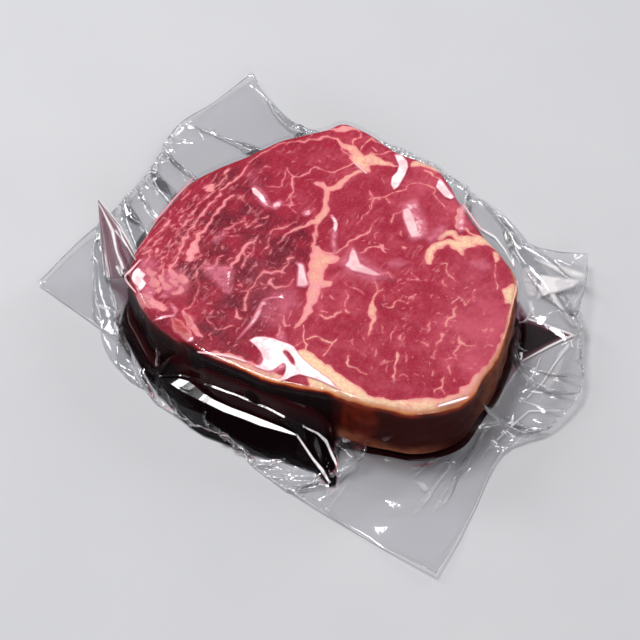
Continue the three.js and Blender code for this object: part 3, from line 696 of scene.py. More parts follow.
def raw_beef():
    """Raw beef, cut across the grain and wet: crimson lean that darkens from muscle to
    muscle, with bundles of fibre about 1.6 mm across, and firm fat that is pink where it is
    thin and cream where it is thick. The side is orange, brown and black, partly from juice and
    partly painted shade that deepens down from the top edge; an orange cast where the fat cap
    meets the side and a glow at its foot are partly painted light."""
    material, tree = blank("raw beef, cut across the grain")
    place = add(tree, "TexCoord").outputs["Object"]
    coarse = noise(tree, place, 9)
    middle = noise(tree, place, 2.6)
    fine = noise(tree, place, 0.9)
    off_middle = math_of(tree, "SUBTRACT", middle, 0.5)
    off_fine = math_of(tree, "SUBTRACT", fine, 0.5)
    off_coarse = math_of(tree, "SUBTRACT", coarse, 0.5)
    ragged = math_of(tree, "ADD", math_of(tree, "MULTIPLY", off_middle, 1.3), math_of(tree, "MULTIPLY", off_fine, 0.9))
    bundles = add(tree, "TexVoronoi", {"Vector": place, "Scale": 1000 / 1.6, "Randomness": 0.9})
    cell = add(tree, "SeparateColor", {0: bundles.outputs["Color"]}).outputs[0]
    tone = math_of(tree, "ADD", attribute(tree, "tone"), math_of(tree, "MULTIPLY", off_coarse, 0.9))
    tone = math_of(tree, "ADD", tone, math_of(tree, "MULTIPLY", off_middle, 0.32))
    tone = math_of(tree, "ADD", tone, math_of(tree, "MULTIPLY", math_of(tree, "SUBTRACT", cell, 0.5), 0.08))
    lean = mixed(tree, ranged(tree, tone, -0.1, 0.5), linear("#CA5567"), linear("#A11E37"))
    lean = mixed(tree, ranged(tree, tone, 0.45, 1.0), lean, linear("#6C1024"))
    grain = ranged(tree, noise(tree, place, 0.75, 2.0), 0.45, 0.75)
    lean = mixed(tree, math_of(tree, "MULTIPLY", grain, 0.26), lean, linear("#D4626F"))
    blush = math_of(tree, "MULTIPLY", attribute(tree, "blush"), 0.8)
    lean = mixed(tree, blush, lean, linear("#A01220"))
    edge = math_of(tree, "ADD", attribute(tree, "fat"), math_of(tree, "MULTIPLY", ragged, 0.65))
    fat_tone = math_of(tree, "ADD", attribute(tree, "cream"), math_of(tree, "MULTIPLY", off_coarse, 0.5))
    fat_tone = math_of(tree, "ADD", fat_tone, math_of(tree, "MULTIPLY", off_middle, 0.9))
    fat = mixed(tree, ranged(tree, fat_tone, 0.2, 0.6), linear("#F4A2A6"), linear("#F1AC9A"))
    fat = mixed(tree, ranged(tree, fat_tone, 0.05, -0.5), fat, linear("#B23A3C"))
    fat = mixed(tree, ranged(tree, fat_tone, 0.55, 1.0), fat, linear("#FBD8B0"))
    fat = mixed(tree, ranged(tree, edge, -0.15, -1.5, 0.62, 0.0), fat, linear("#E8858C"))
    lobules = add(tree, "TexVoronoi", {"Vector": place, "Scale": 1000 / 2.2}, feature="DISTANCE_TO_EDGE")
    fat = mixed(tree, ranged(tree, lobules.outputs["Distance"], 0.12, 0.0, 0.0, 0.28), fat, linear("#DE7A72"))
    fat = mixed(tree, ranged(tree, middle, 0.36, 0.2, 0.0, 0.35), fat, linear("#E8847E"))
    halo = ranged(tree, edge, 1.1, 0.0, 0.0, 0.30)
    lean = mixed(tree, halo, lean, linear("#DE5C6C"))
    strand = add(tree, "Mapping", {"Vector": place, "Rotation": (0, 0, math.radians(58)), "Scale": (4.5, 1, 1)},
                 vector_type="TEXTURE")
    strand = noise(tree, strand.outputs[0], 1.5, 4.0, 0.6)
    clump = ranged(tree, noise(tree, place, 5.5, 2.0), 0.42, 0.62)
    strand = math_of(tree, "MULTIPLY", ranged(tree, strand, 0.52, 0.66), math_of(tree, "ADD", clump, 0.25))
    strand = math_of(tree, "MULTIPLY", strand, attribute(tree, "threads"))
    lean = mixed(tree, math_of(tree, "MULTIPLY", strand, 0.8), lean, linear("#E98E97"))
    fleck = math_of(tree, "ADD", attribute(tree, "fleck"), math_of(tree, "MULTIPLY", ragged, 0.3))
    lean = mixed(tree, ranged(tree, fleck, 0.35, -0.15, 0.0, 0.66), lean, linear("#E8858A"))
    share = ranged(tree, edge, 0.26, -0.26)
    surface = mixed(tree, share, lean, fat)
    streaks = noise(tree, add(tree, "Mapping", {"Vector": place, "Scale": (1, 1, 0.55)}).outputs[0], 4.2)
    blots = math_of(tree, "ADD", math_of(tree, "MULTIPLY", math_of(tree, "SUBTRACT", streaks, 0.5), 0.25),
                    math_of(tree, "MULTIPLY", off_coarse, 0.6))
    # the side, darker down from the top edge: partly juice and partly painted shade
    stain_and_shade = math_of(tree, "ADD", attribute(tree, "stain_and_shade"), blots)
    stain_and_shade = math_of(tree, "MULTIPLY", stain_and_shade, ranged(tree, attribute(tree, "stain_and_shade"), 0.0, 0.15))
    tan = math_of(tree, "MULTIPLY", ranged(tree, streaks, 0.25, 0.75, 0.2, 0.7), attribute(tree, "bare"))
    front = attribute(tree, "front")
    first = mixed(tree, front, linear("#8E2420"), linear("#EE8A4A"))
    second = mixed(tree, front, linear("#5A1216"), linear("#8A2810"))
    stained_and_shaded = mixed(tree, ranged(tree, stain_and_shade, 0.2, 0.5), first, second)
    stained_and_shaded = mixed(tree, ranged(tree, stain_and_shade, 0.5, 0.95), stained_and_shaded, linear("#33090A"))
    stained_and_shaded = mixed(tree, ranged(tree, stain_and_shade, 1.05, 1.45), stained_and_shaded, linear("#100203"))
    stained_and_shaded = mixed(tree, tan, stained_and_shaded, linear("#8E4A28"))
    # painted light: an orange glow on the bare fat at the foot of the front
    glow = math_of(tree, "MULTIPLY", attribute(tree, "glow"), ranged(tree, middle, 0.3, 0.6, 0.5, 0.95))
    stained_and_shaded = mixed(tree, glow, stained_and_shaded, linear("#B0684A"))
    # partly juice on the fat and partly painted light on the rounded edge: a cast of orange comes first where the fat
    # cap meets the side, and dark red elsewhere
    early = math_of(tree, "MULTIPLY", ranged(tree, attribute(tree, "stain_and_shade"), 0.0, 0.06, 0.0, 0.55), front)
    surface = mixed(tree, early, surface, linear("#F09A68"))
    surface = mixed(tree, ranged(tree, stain_and_shade, 0.0, 0.35), surface, stained_and_shaded)
    height = math_of(tree, "ADD", math_of(tree, "MULTIPLY", fine, 0.5), math_of(tree, "MULTIPLY", share, 0.6))
    bump = add(tree, "Bump", {"Strength": 0.35, "Distance": 0.00025, "Height": height})
    shader = add(tree, "BsdfPrincipled", {
        "Base Color": surface, "Roughness": 0.5, "IOR": 1.40,
        "Specular IOR Level": ranged(tree, attribute(tree, "stain_and_shade"), 0.0, 0.6, 0.2, 0.04),
        "Subsurface Weight": 0.18, "Subsurface Radius": (1.0, 0.3, 0.2), "Subsurface Scale": 0.0009,
        "Normal": bump.outputs[0],
    })
    add(tree, "OutputMaterial", {"Surface": shader.outputs[0]})
    return material


def meat_juice():
    """Juice drawn from raw beef: almost black where it is deep, dark red at thin edges,
    with the sheen of any thin liquid."""
    material, tree = blank("beef juice")
    place = add(tree, "TexCoord").outputs["Object"]
    depth = attribute(tree, "depth")
    cloud = noise(tree, place, 12)
    share = math_of(tree, "ADD", depth, math_of(tree, "MULTIPLY", math_of(tree, "SUBTRACT", cloud, 0.5), 0.5))
    colour = mixed(tree, ranged(tree, share, 0.1, 0.75), linear("#2C080B"), linear("#0B0204"))
    # the film over the ledge and the lip stands clear of the juice, and both mirror a lamp
    mirror = math_of(tree, "ADD", math_of(tree, "MULTIPLY", attribute(tree, "ledge"), 0.8), 0.08)
    shader = add(tree, "BsdfPrincipled", {
        "Base Color": colour, "Roughness": 0.12, "IOR": 1.45, "Specular IOR Level": mirror,
    })
    add(tree, "OutputMaterial", {"Surface": shader.outputs[0]})
    return material


def clear_film():
    """Clear nylon and polyethylene vacuum film, blown and then sealed: it shows what lies
    below it, takes a little light in each layer, and throws back hard white streaks
    wherever a fold faces a lamp. Much of its white is painted highlight: crisp patches, soft
    highlights and glint lines, laid on where its folds would catch a lamp."""
    material, tree = blank("clear vacuum film, nylon and polyethylene")
    place = add(tree, "TexCoord").outputs["Object"]
    crinkle = noise(tree, place, 5, 3.0, 0.5)
    bump = add(tree, "Bump", {"Strength": 0.25, "Distance": 0.0006, "Height": crinkle})
    gloss = attribute(tree, "gloss")
    wet = attribute(tree, "wet")
    tint = mixed(tree, ranged(tree, wet, 0.0, 0.5), (0.965, 0.965, 0.972, 1), linear("#CDA6B2"))
    tint = mixed(tree, ranged(tree, wet, 0.5, 1.0), tint, linear("#64263A"))
    see = add(tree, "BsdfTransparent", {"Color": tint})
    shine = add(tree, "BsdfAnisotropic", {"Color": (1, 1, 1, 1), "Roughness": 0.08, "Normal": bump.outputs[0]})
    # painted highlights: crisp patches, soft highlights with haze, and glint lines along bends
    haze_and_highlight = attribute(tree, "cloud")
    whiteness = math_of(tree, "MAXIMUM", attribute(tree, "painted_highlight"), ranged(tree, haze_and_highlight, 0.0, 0.2))
    whiteness = math_of(tree, "MAXIMUM", whiteness, attribute(tree, "bend"))
    # haze of the web itself, whiter along sharp folds and at the cut border
    fold = ranged(tree, attribute(tree, "crease"), 0.8, 2.0, 0.0, 0.30)
    border = ranged(tree, attribute(tree, "border"), 0.9, 0.2, 0.0, 0.45)
    free = ranged(tree, gloss, 0.005, 0.06)
    web = math_of(tree, "MULTIPLY", free, 0.018)
    fold = math_of(tree, "MULTIPLY", fold, free)
    curdle = ranged(tree, noise(tree, place, 5, 3.0), 0.32, 0.62, 0.86, 1.0)
    wisp = ranged(tree, noise(tree, place, 3, 4.0, 0.65), 0.3, 0.7, 0.55, 1.25)
    painted_highlight = math_of(tree, "MULTIPLY", attribute(tree, "painted_highlight"), curdle)
    painted_highlight = math_of(tree, "MULTIPLY", painted_highlight, ranged(tree, attribute(tree, "past"), 0.9, -1.3))
    white = math_of(tree, "ADD", math_of(tree, "ADD", web, fold), border)
    white = math_of(tree, "MAXIMUM", white, math_of(tree, "MULTIPLY", haze_and_highlight, wisp))
    bent = math_of(tree, "ABSOLUTE", attribute(tree, "across"))
    bent = math_of(tree, "MULTIPLY", ranged(tree, bent, 1.3, 0.6), attribute(tree, "bend"))
    white = math_of(tree, "MAXIMUM", math_of(tree, "MAXIMUM", white, painted_highlight), bent)
    # over the meat the haze and painted highlights are pink where thin; free film is a neutral white
    haze_and_highlight_colour = mixed(tree, ranged(tree, white, 0.5, 0.92), linear("#FF8CA4"), linear("#FFD8DB"))
    haze_and_highlight_colour = mixed(tree, ranged(tree, white, 0.86, 1.0), haze_and_highlight_colour, linear("#FFF9FA"))
    plain = mixed(tree, whiteness, (0.85, 0.85, 0.87, 1), linear("#FFF9FA"))
    haze_and_highlight_colour = mixed(tree, ranged(tree, gloss, 0.012, 0.004), haze_and_highlight_colour, plain)
    haze_and_highlight_colour = mixed(tree, ranged(tree, gloss, 0.035, 0.055), haze_and_highlight_colour, plain)
    # light scattered inside the web, and the painted highlights, don't depend on how the web is tilted
    level = add(tree, "CombineXYZ", {2: 1.0}).outputs[0]
    haze = add(tree, "BsdfDiffuse", {"Color": haze_and_highlight_colour, "Normal": level})
    veil = add(tree, "MixShader", {0: white, 1: see.outputs[0], 2: haze.outputs[0]})
    # Schlick's rule, from the face-on share up to most of the light at a glance, though less
    # where the inner face is wet
    facing = add(tree, "LayerWeight", {"Blend": 0.5, "Normal": bump.outputs[0]}).outputs["Facing"]
    glance = math_of(tree, "MULTIPLY", math_of(tree, "POWER", facing, 5.0), ranged(tree, gloss, 0.0, 0.05, 0.06, 0.9))
    share = math_of(tree, "ADD", glance, gloss)
    whole = add(tree, "MixShader", {0: share, 1: veil.outputs[0], 2: shine.outputs[0]})
    add(tree, "OutputMaterial", {"Surface": whole.outputs[0]})
    return material


# ---- juice between the meat and the film -------------------------------------------------------
# The juice lies in a shelf along the front left. Three lines of it: x and y in view pixels
# and the height. The lip runs high on its side, the inner and outer edge bound the ledge,
# which slopes outward, and all three come down to the ground at the right-hand end.
LIP = [
    (160, 376, 14), (180, 375, 14), (192, 377.5, 14.5), (200, 381.5, 17.5), (205, 384, 19.2), (212, 386, 19.5),
    (228, 392, 19.5), (250, 399, 19.5), (266, 407, 19.5), (285, 417, 19.5),
    (304, 426, 17.5), (319, 434, 13), (330, 450, 7),
]
LIP_DROP = 0.2
LIP_REACH = 1.0
LEDGE_INNER = [
    (160, 378.5, 12.4), (180, 378.5, 12.4), (191, 382, 12.4), (199, 388.5, 12.4), (206, 395, 12.4), (212, 399.5, 12.4), (231, 408, 12.4),
    (250, 415, 12.4), (282, 428, 12.4), (297, 435.5, 12.4), (313, 459, 6.5), (329, 481, 2),
]
LEDGE_OUTER = [
    (162, 382, 11.8), (170, 386, 11.4), (180, 393, 11), (188, 397, 11.2), (196, 400, 11.8), (222, 413, 11.6), (244, 421, 11.6), (259, 427, 11.7),
    (282, 433, 12), (297, 437, 12.3), (313, 461, 6.3), (329, 483, 1.8),
]
LEDGE_SLOPE = math.tan(math.radians(10.8))
SHELF_TOP = 29.0
ABOVE_LIP = 9.5             # the juice ends this far over the lip
JUICE_BASE = 0.95
FOOT_DEPTHS = {             # bearing in degrees: depth of the juice at the ground
    0: 4, 18: 3, 40: 2.5, 120: 2.5, 170: 5, 200: 6, 208: 9, 216: 11, 223: 12.5, 231: 14, 243: 13.5,
    250: 13, 257: 12.5, 270: 15, 274: 12, 277: 3, 280: 1, 290: 0.3, 325: 0.3, 345: 3, 360: 4,
}


def seen_line(marks, bearing):
    """A line of the view laid at its heights: distance from the middle, and height, at each
    bearing."""
    marks = np.asarray(marks, float)
    stops = np.linspace(0, len(marks) - 1, 12 * len(marks))
    x, y, height = (np.interp(stops, np.arange(len(marks)), column) for column in marks.T)
    place = on_face(np.stack([x, y], 1), height)
    degrees = np.degrees(np.arctan2(place[:, 1], place[:, 0])) % 360
    order = np.argsort(degrees)
    reach = np.interp(bearing, degrees[order], np.hypot(place[:, 0], place[:, 1])[order])
    return reach, np.interp(bearing, degrees[order], height[order])


def juice_profile():
    """Heights and depths of the juice's six level lines, at every sixteenth of a degree."""
    around = np.linspace(-np.pi, np.pi, 5761)
    degrees = np.degrees(around) % 360
    edge = np.interp(around, BEARINGS, REACHES)
    square = np.interp(around, BEARINGS, SQUARENESS)
    shelf = ease(202, 210, degrees) * ease(277.5, 274, degrees)
    depths, heights = [], []
    for line in (LIP, LEDGE_INNER, LEDGE_OUTER):
        reach, height = seen_line(line, degrees)
        depths.append(np.maximum((reach - edge) * square - FILM_OFF - SIDE_BULGE / 2, 0.3) * shelf)
        heights.append(height)
    lip, inner, outer = depths
    lip_height, inner_height, _ = heights
    under_lip = lip + LIP_REACH * shelf
    inner = np.maximum(inner, under_lip)
    outer = np.maximum(outer, inner + 0.2 * shelf)
    foot = np.interp(degrees, list(FOOT_DEPTHS), list(FOOT_DEPTHS.values()))
    foot = np.maximum(foot, outer + 1.5 * shelf)
    outer_height = np.maximum(inner_height - LEDGE_SLOPE * (outer - inner) - 0.05, JUICE_BASE + 0.3)
    lip_height = np.maximum(lip_height, inner_height + 1)
    levels = [JUICE_BASE + 0 * around, outer_height, inner_height, lip_height - LIP_DROP, lip_height,
              np.minimum(lip_height + ABOVE_LIP, SHELF_TOP)]
    return np.array(levels), np.array([foot, outer, inner, under_lip, lip, 0 * around]), shelf


PROFILE_HEIGHTS, PROFILE_DEPTHS, SHELF_SHARE = juice_profile()


def profile_place(bearing):
    return np.clip(np.rint((bearing + np.pi) * (5760 / (2 * np.pi))), 0, 5760).astype(int)


def juice_depth(bearing, height):
    """Straight-line interpolation between the level lines at that bearing."""
    place = profile_place(bearing)
    depth = PROFILE_DEPTHS[0][place]
    for k in range(5):
        low, high = PROFILE_HEIGHTS[k][place], PROFILE_HEIGHTS[k + 1][place]
        share = np.clip((height - low) / (high - low), 0, 1)
        depth = depth + (PROFILE_DEPTHS[k + 1] - PROFILE_DEPTHS[k])[place] * share
    return depth


# ---- the film, relaxed over the meat -------------------------------------------------------------
FILM_WIDTH = 215.0          # of the pouch laid flat, back left side
FILM_LENGTH = 258.0         # of the pouch laid flat, back right side
COARSE = (31, 38)           # points across and along, before the first halving
ROUNDS = [(180, 12), (90, 10), (50, 10), (24, 8)]      # steps, and sweeps a step, at each fineness
SUCTION = 0.2               # push of the outer air, millimetres a step
WEIGHT = 0.15
LIVELINESS = 0.9            # share of its motion that the film keeps
STIFFNESS = 0.05            # against bending
SEAL_HOLD = 0.3             # how firmly the seal keeps to the border curve
FILM_SEED = 4
# Unshortened film at either end of each side, next to the corners: the rest is gathered.
FLAT_ENDS = [(55, 35), (55, 40), (60, 60), (30, 60)]

relief_line = np.arange(-100.0, 101.0, 1.0)
relief_x, relief_y = np.meshgrid(relief_line, relief_line)
RELIEF = face_relief(relief_x, relief_y)


def relief_at(x, y):
    """Relief of the cut face, read off a one millimetre grid."""
    column = np.clip(x + 100, 0, 199.999)
    row = np.clip(y + 100, 0, 199.999)
    i, j = row.astype(int), column.astype(int)
    v, u = row - i, column - j
    return ((1 - v) * ((1 - u) * RELIEF[i, j] + u * RELIEF[i, j + 1])
            + v * ((1 - u) * RELIEF[i + 1, j] + u * RELIEF[i + 1, j + 1]))


def clearance(points):
    """Signed distance from the surface that the film lies on, a prism with rounded upper
    edges round the meat and its juice, and the shares of that way that lead out and up."""
    x, y, z = points.T
    bearing = np.arctan2(y, x)
    away = np.hypot(x, y) + 1e-9
    reach = np.interp(bearing, BEARINGS, REACHES)
    square = np.interp(bearing, BEARINGS, SQUARENESS)
    out = (away - reach) * square - FILM_OFF - SIDE_BULGE / 2 - juice_depth(bearing, z) + EDGE_ROUND
    inner = ease(0, 12, reach - away)
    up = z - STEAK_TOP - FILM_OFF - relief_at(x, y) * inner + EDGE_ROUND
    corner = (out > 0) & (up > 0)
    length = np.sqrt(out * out + up * up) + 1e-9
    distance = np.where(corner, length - EDGE_ROUND, np.maximum(out, up) - EDGE_ROUND)
    sideways = out > up
    push = np.where(corner, out / length, np.where(sideways, 1.0, 0.0))
    lift = np.where(corner, up / length, np.where(sideways, 0.0, 1.0))
    return distance, push * x / away, push * y / away, lift


def push_out(points):
    """Moves points that are inside the meat or its juice to the nearest surface."""
    distance, *way = clearance(points)
    move = np.where(distance < 0, -distance, 0)
    for axis, share in enumerate(way):
        points[:, axis] += move * share


def drawn_tight(sheet):
    """Film that nearly touches the side of the meat or the shelf of juice is brought right
    on to it, and so takes its creases."""
    points = sheet.reshape(-1, 3)
    distance, *way = clearance(points)
    place = profile_place(np.arctan2(points[:, 1], points[:, 0]))
    degrees = np.degrees(np.arctan2(points[:, 1], points[:, 0])) % 360
    catch = 1.0 + 2.0 * SHELF_SHARE[place] + 4.0 * ease(274, 278, degrees) * ease(292, 286, degrees)
    hold = ease(catch + 0.8, catch, distance) * ease(1.2, 3.5, points[:, 2]) * ease(34, 31, points[:, 2])
    move = -np.maximum(distance, 0) * hold
    return (points + np.stack([move * share for share in way], 1)).reshape(sheet.shape)


def crumple(u, v, cell, seed):
    """Random heights, from -1 to 1, at the corners of a bent lattice, joined by flat
    triangles: straight creases between flat facets."""
    draw = np.random.default_rng(seed)
    phase = draw.uniform(0, 2 * np.pi, 4)
    p = u / cell + 0.30 * np.sin(v / (1.3 * cell) + phase[0]) + 0.2 * np.sin(v / (0.7 * cell) + phase[1]) + 5
    q = v / cell + 0.30 * np.sin(u / (1.5 * cell) + phase[2]) + 0.2 * np.sin(u / (0.6 * cell) + phase[3]) + 5
    corner = draw.uniform(-1, 1, (90, 90))
    i, j = np.floor(p).astype(int), np.floor(q).astype(int)
    f, g = p - i, q - j
    near, far = corner[i, j], corner[i + 1, j + 1]
    east, north = corner[i + 1, j], corner[i, j + 1]
    first = near + (east - near) * f + (north - near) * g
    second = far + (north - far) * (1 - f) + (east - far) * (1 - g)
    return np.where(f + g < 1, first, second)


CRUMPLES = [(19.0, 1.5, 31), (8.0, 0.45, 32)]       # size of a facet and its height in mm, seed


def crumpled(sheet):
    """Free film is pushed along its normal by facets of two sizes; near the meat and at the
    seal it stays as it is."""
    rows, columns, _ = sheet.shape
    u = np.linspace(0, FILM_LENGTH, columns)[None, :] + np.zeros((rows, 1))
    v = np.linspace(0, FILM_WIDTH, rows)[:, None] + np.zeros((1, columns))
    border = np.minimum(np.minimum(u, FILM_LENGTH - u), np.minimum(v, FILM_WIDTH - v))
    distance = clearance(sheet.reshape(-1, 3))[0].reshape(rows, columns)
    free = ease(1.5, 7, distance) * (0.25 + 0.75 * ease(1, 9, border))
    height = sum(rise * crumple(u, v, cell, seed) for cell, rise, seed in CRUMPLES)
    moved = sheet + (height * free)[..., None] * sheet_normals(sheet)
    points = np.ascontiguousarray(moved.reshape(-1, 3))
    push_out(points)
    np.maximum(points[:, 2], 0.8, out=points[:, 2])
    return points.reshape(sheet.shape)


def keep_apart(sheet, one, other, rest, firmness):
    """Moves both ends of each pair along their line towards their distance at rest."""
    gap = sheet[other] - sheet[one]
    length = np.sqrt((gap * gap).sum(-1)) + 1e-12
    gap *= (0.5 * firmness * (length - rest) / length)[..., None]
    sheet[one] += gap
    sheet[other] -= gap


def links(rows, columns, cell):
    """Pairs of neighbours along, across and diagonally, and pairs two apart that resist
    bending, in sets that share no point."""
    across, along = cell
    every = slice(None)
    found = []
    for k in (0, 1):
        found.append(((every, slice(k, columns - 1, 2)), (every, slice(k + 1, columns, 2)), along, 1.0))
        found.append(((slice(k, rows - 1, 2), every), (slice(k + 1, rows, 2), every), across, 1.0))
    slant = math.hypot(across, along)
    for k in (0, 1):
        upper, lower = slice(k, rows - 1, 2), slice(k + 1, rows, 2)
        found.append(((upper, slice(0, columns - 1)), (lower, slice(1, columns)), slant, 0.5))
        found.append(((upper, slice(1, columns)), (lower, slice(0, columns - 1)), slant, 0.5))
    for k in range(4):
        found.append(((every, slice(k, columns - 2, 4)), (every, slice(k + 2, columns, 4)), 2 * along, STIFFNESS))
        found.append(((slice(k, rows - 2, 4), every), (slice(k + 2, rows, 4), every), 2 * across, STIFFNESS))
    return found


def sheet_normals(sheet):
    """Cross product of the grid's two directions, by differences of neighbours."""
    down, along = np.gradient(sheet, axis=0), np.gradient(sheet, axis=1)
    normal = np.cross(down, along)
    return normal / (np.linalg.norm(normal, axis=-1, keepdims=True) + 1e-9)


def relax(sheet, cell, steps, sweeps, seals, strength):
    """Position-based relaxation: each step carries the motion on, adds suction along the
    normal and weight, then sweeps over lengths, contact, floor and seals."""
    rows, columns, _ = sheet.shape
    pairs = links(rows, columns, cell)
    motion = np.zeros_like(sheet)
    for _ in range(steps):
        motion = motion * LIVELINESS - strength * SUCTION * sheet_normals(sheet)
        motion[..., 2] -= strength * WEIGHT
        moved = np.ascontiguousarray(sheet + motion)
        for _ in range(sweeps):
            for one, other, rest, firmness in pairs:
                keep_apart(moved, one, other, rest, firmness)
            flat = moved.reshape(-1, 3)
            push_out(flat)
            np.maximum(flat[:, 2], 0.8, out=flat[:, 2])
            for part, goal in seals:
                moved[part] += SEAL_HOLD * (goal - moved[part])
        motion = moved - sheet
        sheet = moved
    return sheet


def halved(sheet):
    """The grid at half the spacing, each new point by the four point rule."""
    for axis in (0, 1):
        old = np.moveaxis(sheet, axis, 0)
        fresh = np.empty((2 * len(old) - 1,) + old.shape[1:])
        fresh[::2] = old
        between = 0.5 * (old[:-1] + old[1:])
        between[1:-1] = (9 * (old[1:-2] + old[2:-1]) - (old[:-3] + old[3:])) / 16
        fresh[1::2] = between
        sheet = np.moveaxis(fresh, 0, axis)
    return sheet


def seal_line(points, count, length, ends):
    """Places along a border curve: film at its full length near both ends, and gathered
    evenly between."""
    fine = curve_through(points, False, 600)
    run = np.r_[0, np.cumsum(np.linalg.norm(np.diff(fine, axis=0), axis=1))]
    film = np.linspace(0, length, count)
    first, last = ends
    place = np.interp(film, [0, first, length - last, length], [0, first, run[-1] - last, run[-1]])
    return np.stack([np.interp(place, run, column) for column in fine.T], 1)


def relaxed_film():
    """The upper web: a flat sheet held over the meat, let down and sucked on to it, at
    each fineness in turn."""
    rows, columns = COARSE
    cell = (FILM_WIDTH / (rows - 1), FILM_LENGTH / (columns - 1))
    u = np.linspace(0, 1, columns)[None, :, None]
    v = np.linspace(0, 1, rows)[:, None, None]
    sheet = (1 - v) * ((1 - u) * CORNER_A + u * CORNER_B) + v * ((1 - u) * CORNER_D + u * CORNER_C)
    sheet[..., 2] = 46
    sheet += np.random.default_rng(FILM_SEED).normal(0, 0.5, sheet.shape)
    back_right, back_left, front_left, front_right = BORDERS
    rounds = ROUNDS
    for level, (steps, sweeps) in enumerate(rounds):
        rows, columns, _ = sheet.shape
        seals = [
            (np.s_[0, :], seal_line(back_right[::-1], columns, FILM_LENGTH, FLAT_ENDS[0])),
            (np.s_[:, 0], seal_line(back_left, rows, FILM_WIDTH, FLAT_ENDS[1])),
            (np.s_[-1, :], seal_line(front_left, columns, FILM_LENGTH, FLAT_ENDS[2])),
            (np.s_[:, -1], seal_line(front_right[::-1], rows, FILM_WIDTH, FLAT_ENDS[3])),
        ]
        strength = 1.6 ** -level
        sheet = relax(sheet, cell, steps, sweeps, seals, strength)
        if level < len(rounds) - 1:
            sheet = halved(sheet)
            cell = (cell[0] / 2, cell[1] / 2)
    return drawn_tight(sheet)


# Ridges of the film over the face, where it bridges a hollow: steepness, then x and y in view
# pixels and the width there in pixels.
RIDGES = [
    (.22, [(247, 344, 1.5), (254, 339.5, 6), (263, 339, 11), (274, 342.5, 13), (286, 348, 11), (296, 355, 9.5),
           (306, 363, 9), (318, 371.5, 8), (330, 380, 6), (342, 390, 2)]),
    (.22, [(264, 351, 6), (272, 357, 9), (281, 360, 8), (287, 366, 6), (286, 374, 6), (281, 379, 2.5)]),
    (.16, [(249, 181, 2), (254, 190, 5.5), (261, 198, 6.5), (269, 205, 6.5), (277, 206, 7), (283, 201, 3)]),
    (.16, [(328, 214, 2), (334, 218, 6), (336, 226, 7), (334, 238, 5.5), (335, 252, 2)]),
    (.18, [(395, 154, 4), (403, 160, 9), (403, 169, 9), (398, 178, 10), (393, 189, 3)]),
    (.18, [(439, 178, 3), (442, 187, 8), (448, 194, 7), (454, 198, 3)]),
    (.12, [(410, 208, 10), (413, 218, 14), (418, 228, 14), (422, 237, 8)]),
    (.14, [(352, 247, 3), (351, 258, 9), (354, 266, 13), (364, 271, 9), (382, 275, 3)]),
    (.14, [(299, 262, 6), (301, 272, 10), (303, 280, 12), (303, 287, 8)]),
    (.12, [(205, 268, 6), (216, 271, 9), (226, 275, 11), (229, 284, 8), (228, 292, 4)]),
    (.16, [(283, 294, 5), (276, 298, 3), (265, 300, 4), (260, 308, 7), (256, 317, 8), (250, 326, 5), (240, 337, 2)]),
    (.30, [(124, 276, 1.4), (134, 270, 7), (144, 265, 9), (150, 261, 4)]),
    (.30, [(124, 276, 1.4), (136, 279, 10), (144, 281, 12)]),
    (.26, [(168, 300, 2), (173, 305, 6), (177, 315, 3)]),
    (.26, [(152, 320, 2), (163, 316, 5), (175, 315, 3)]),
]
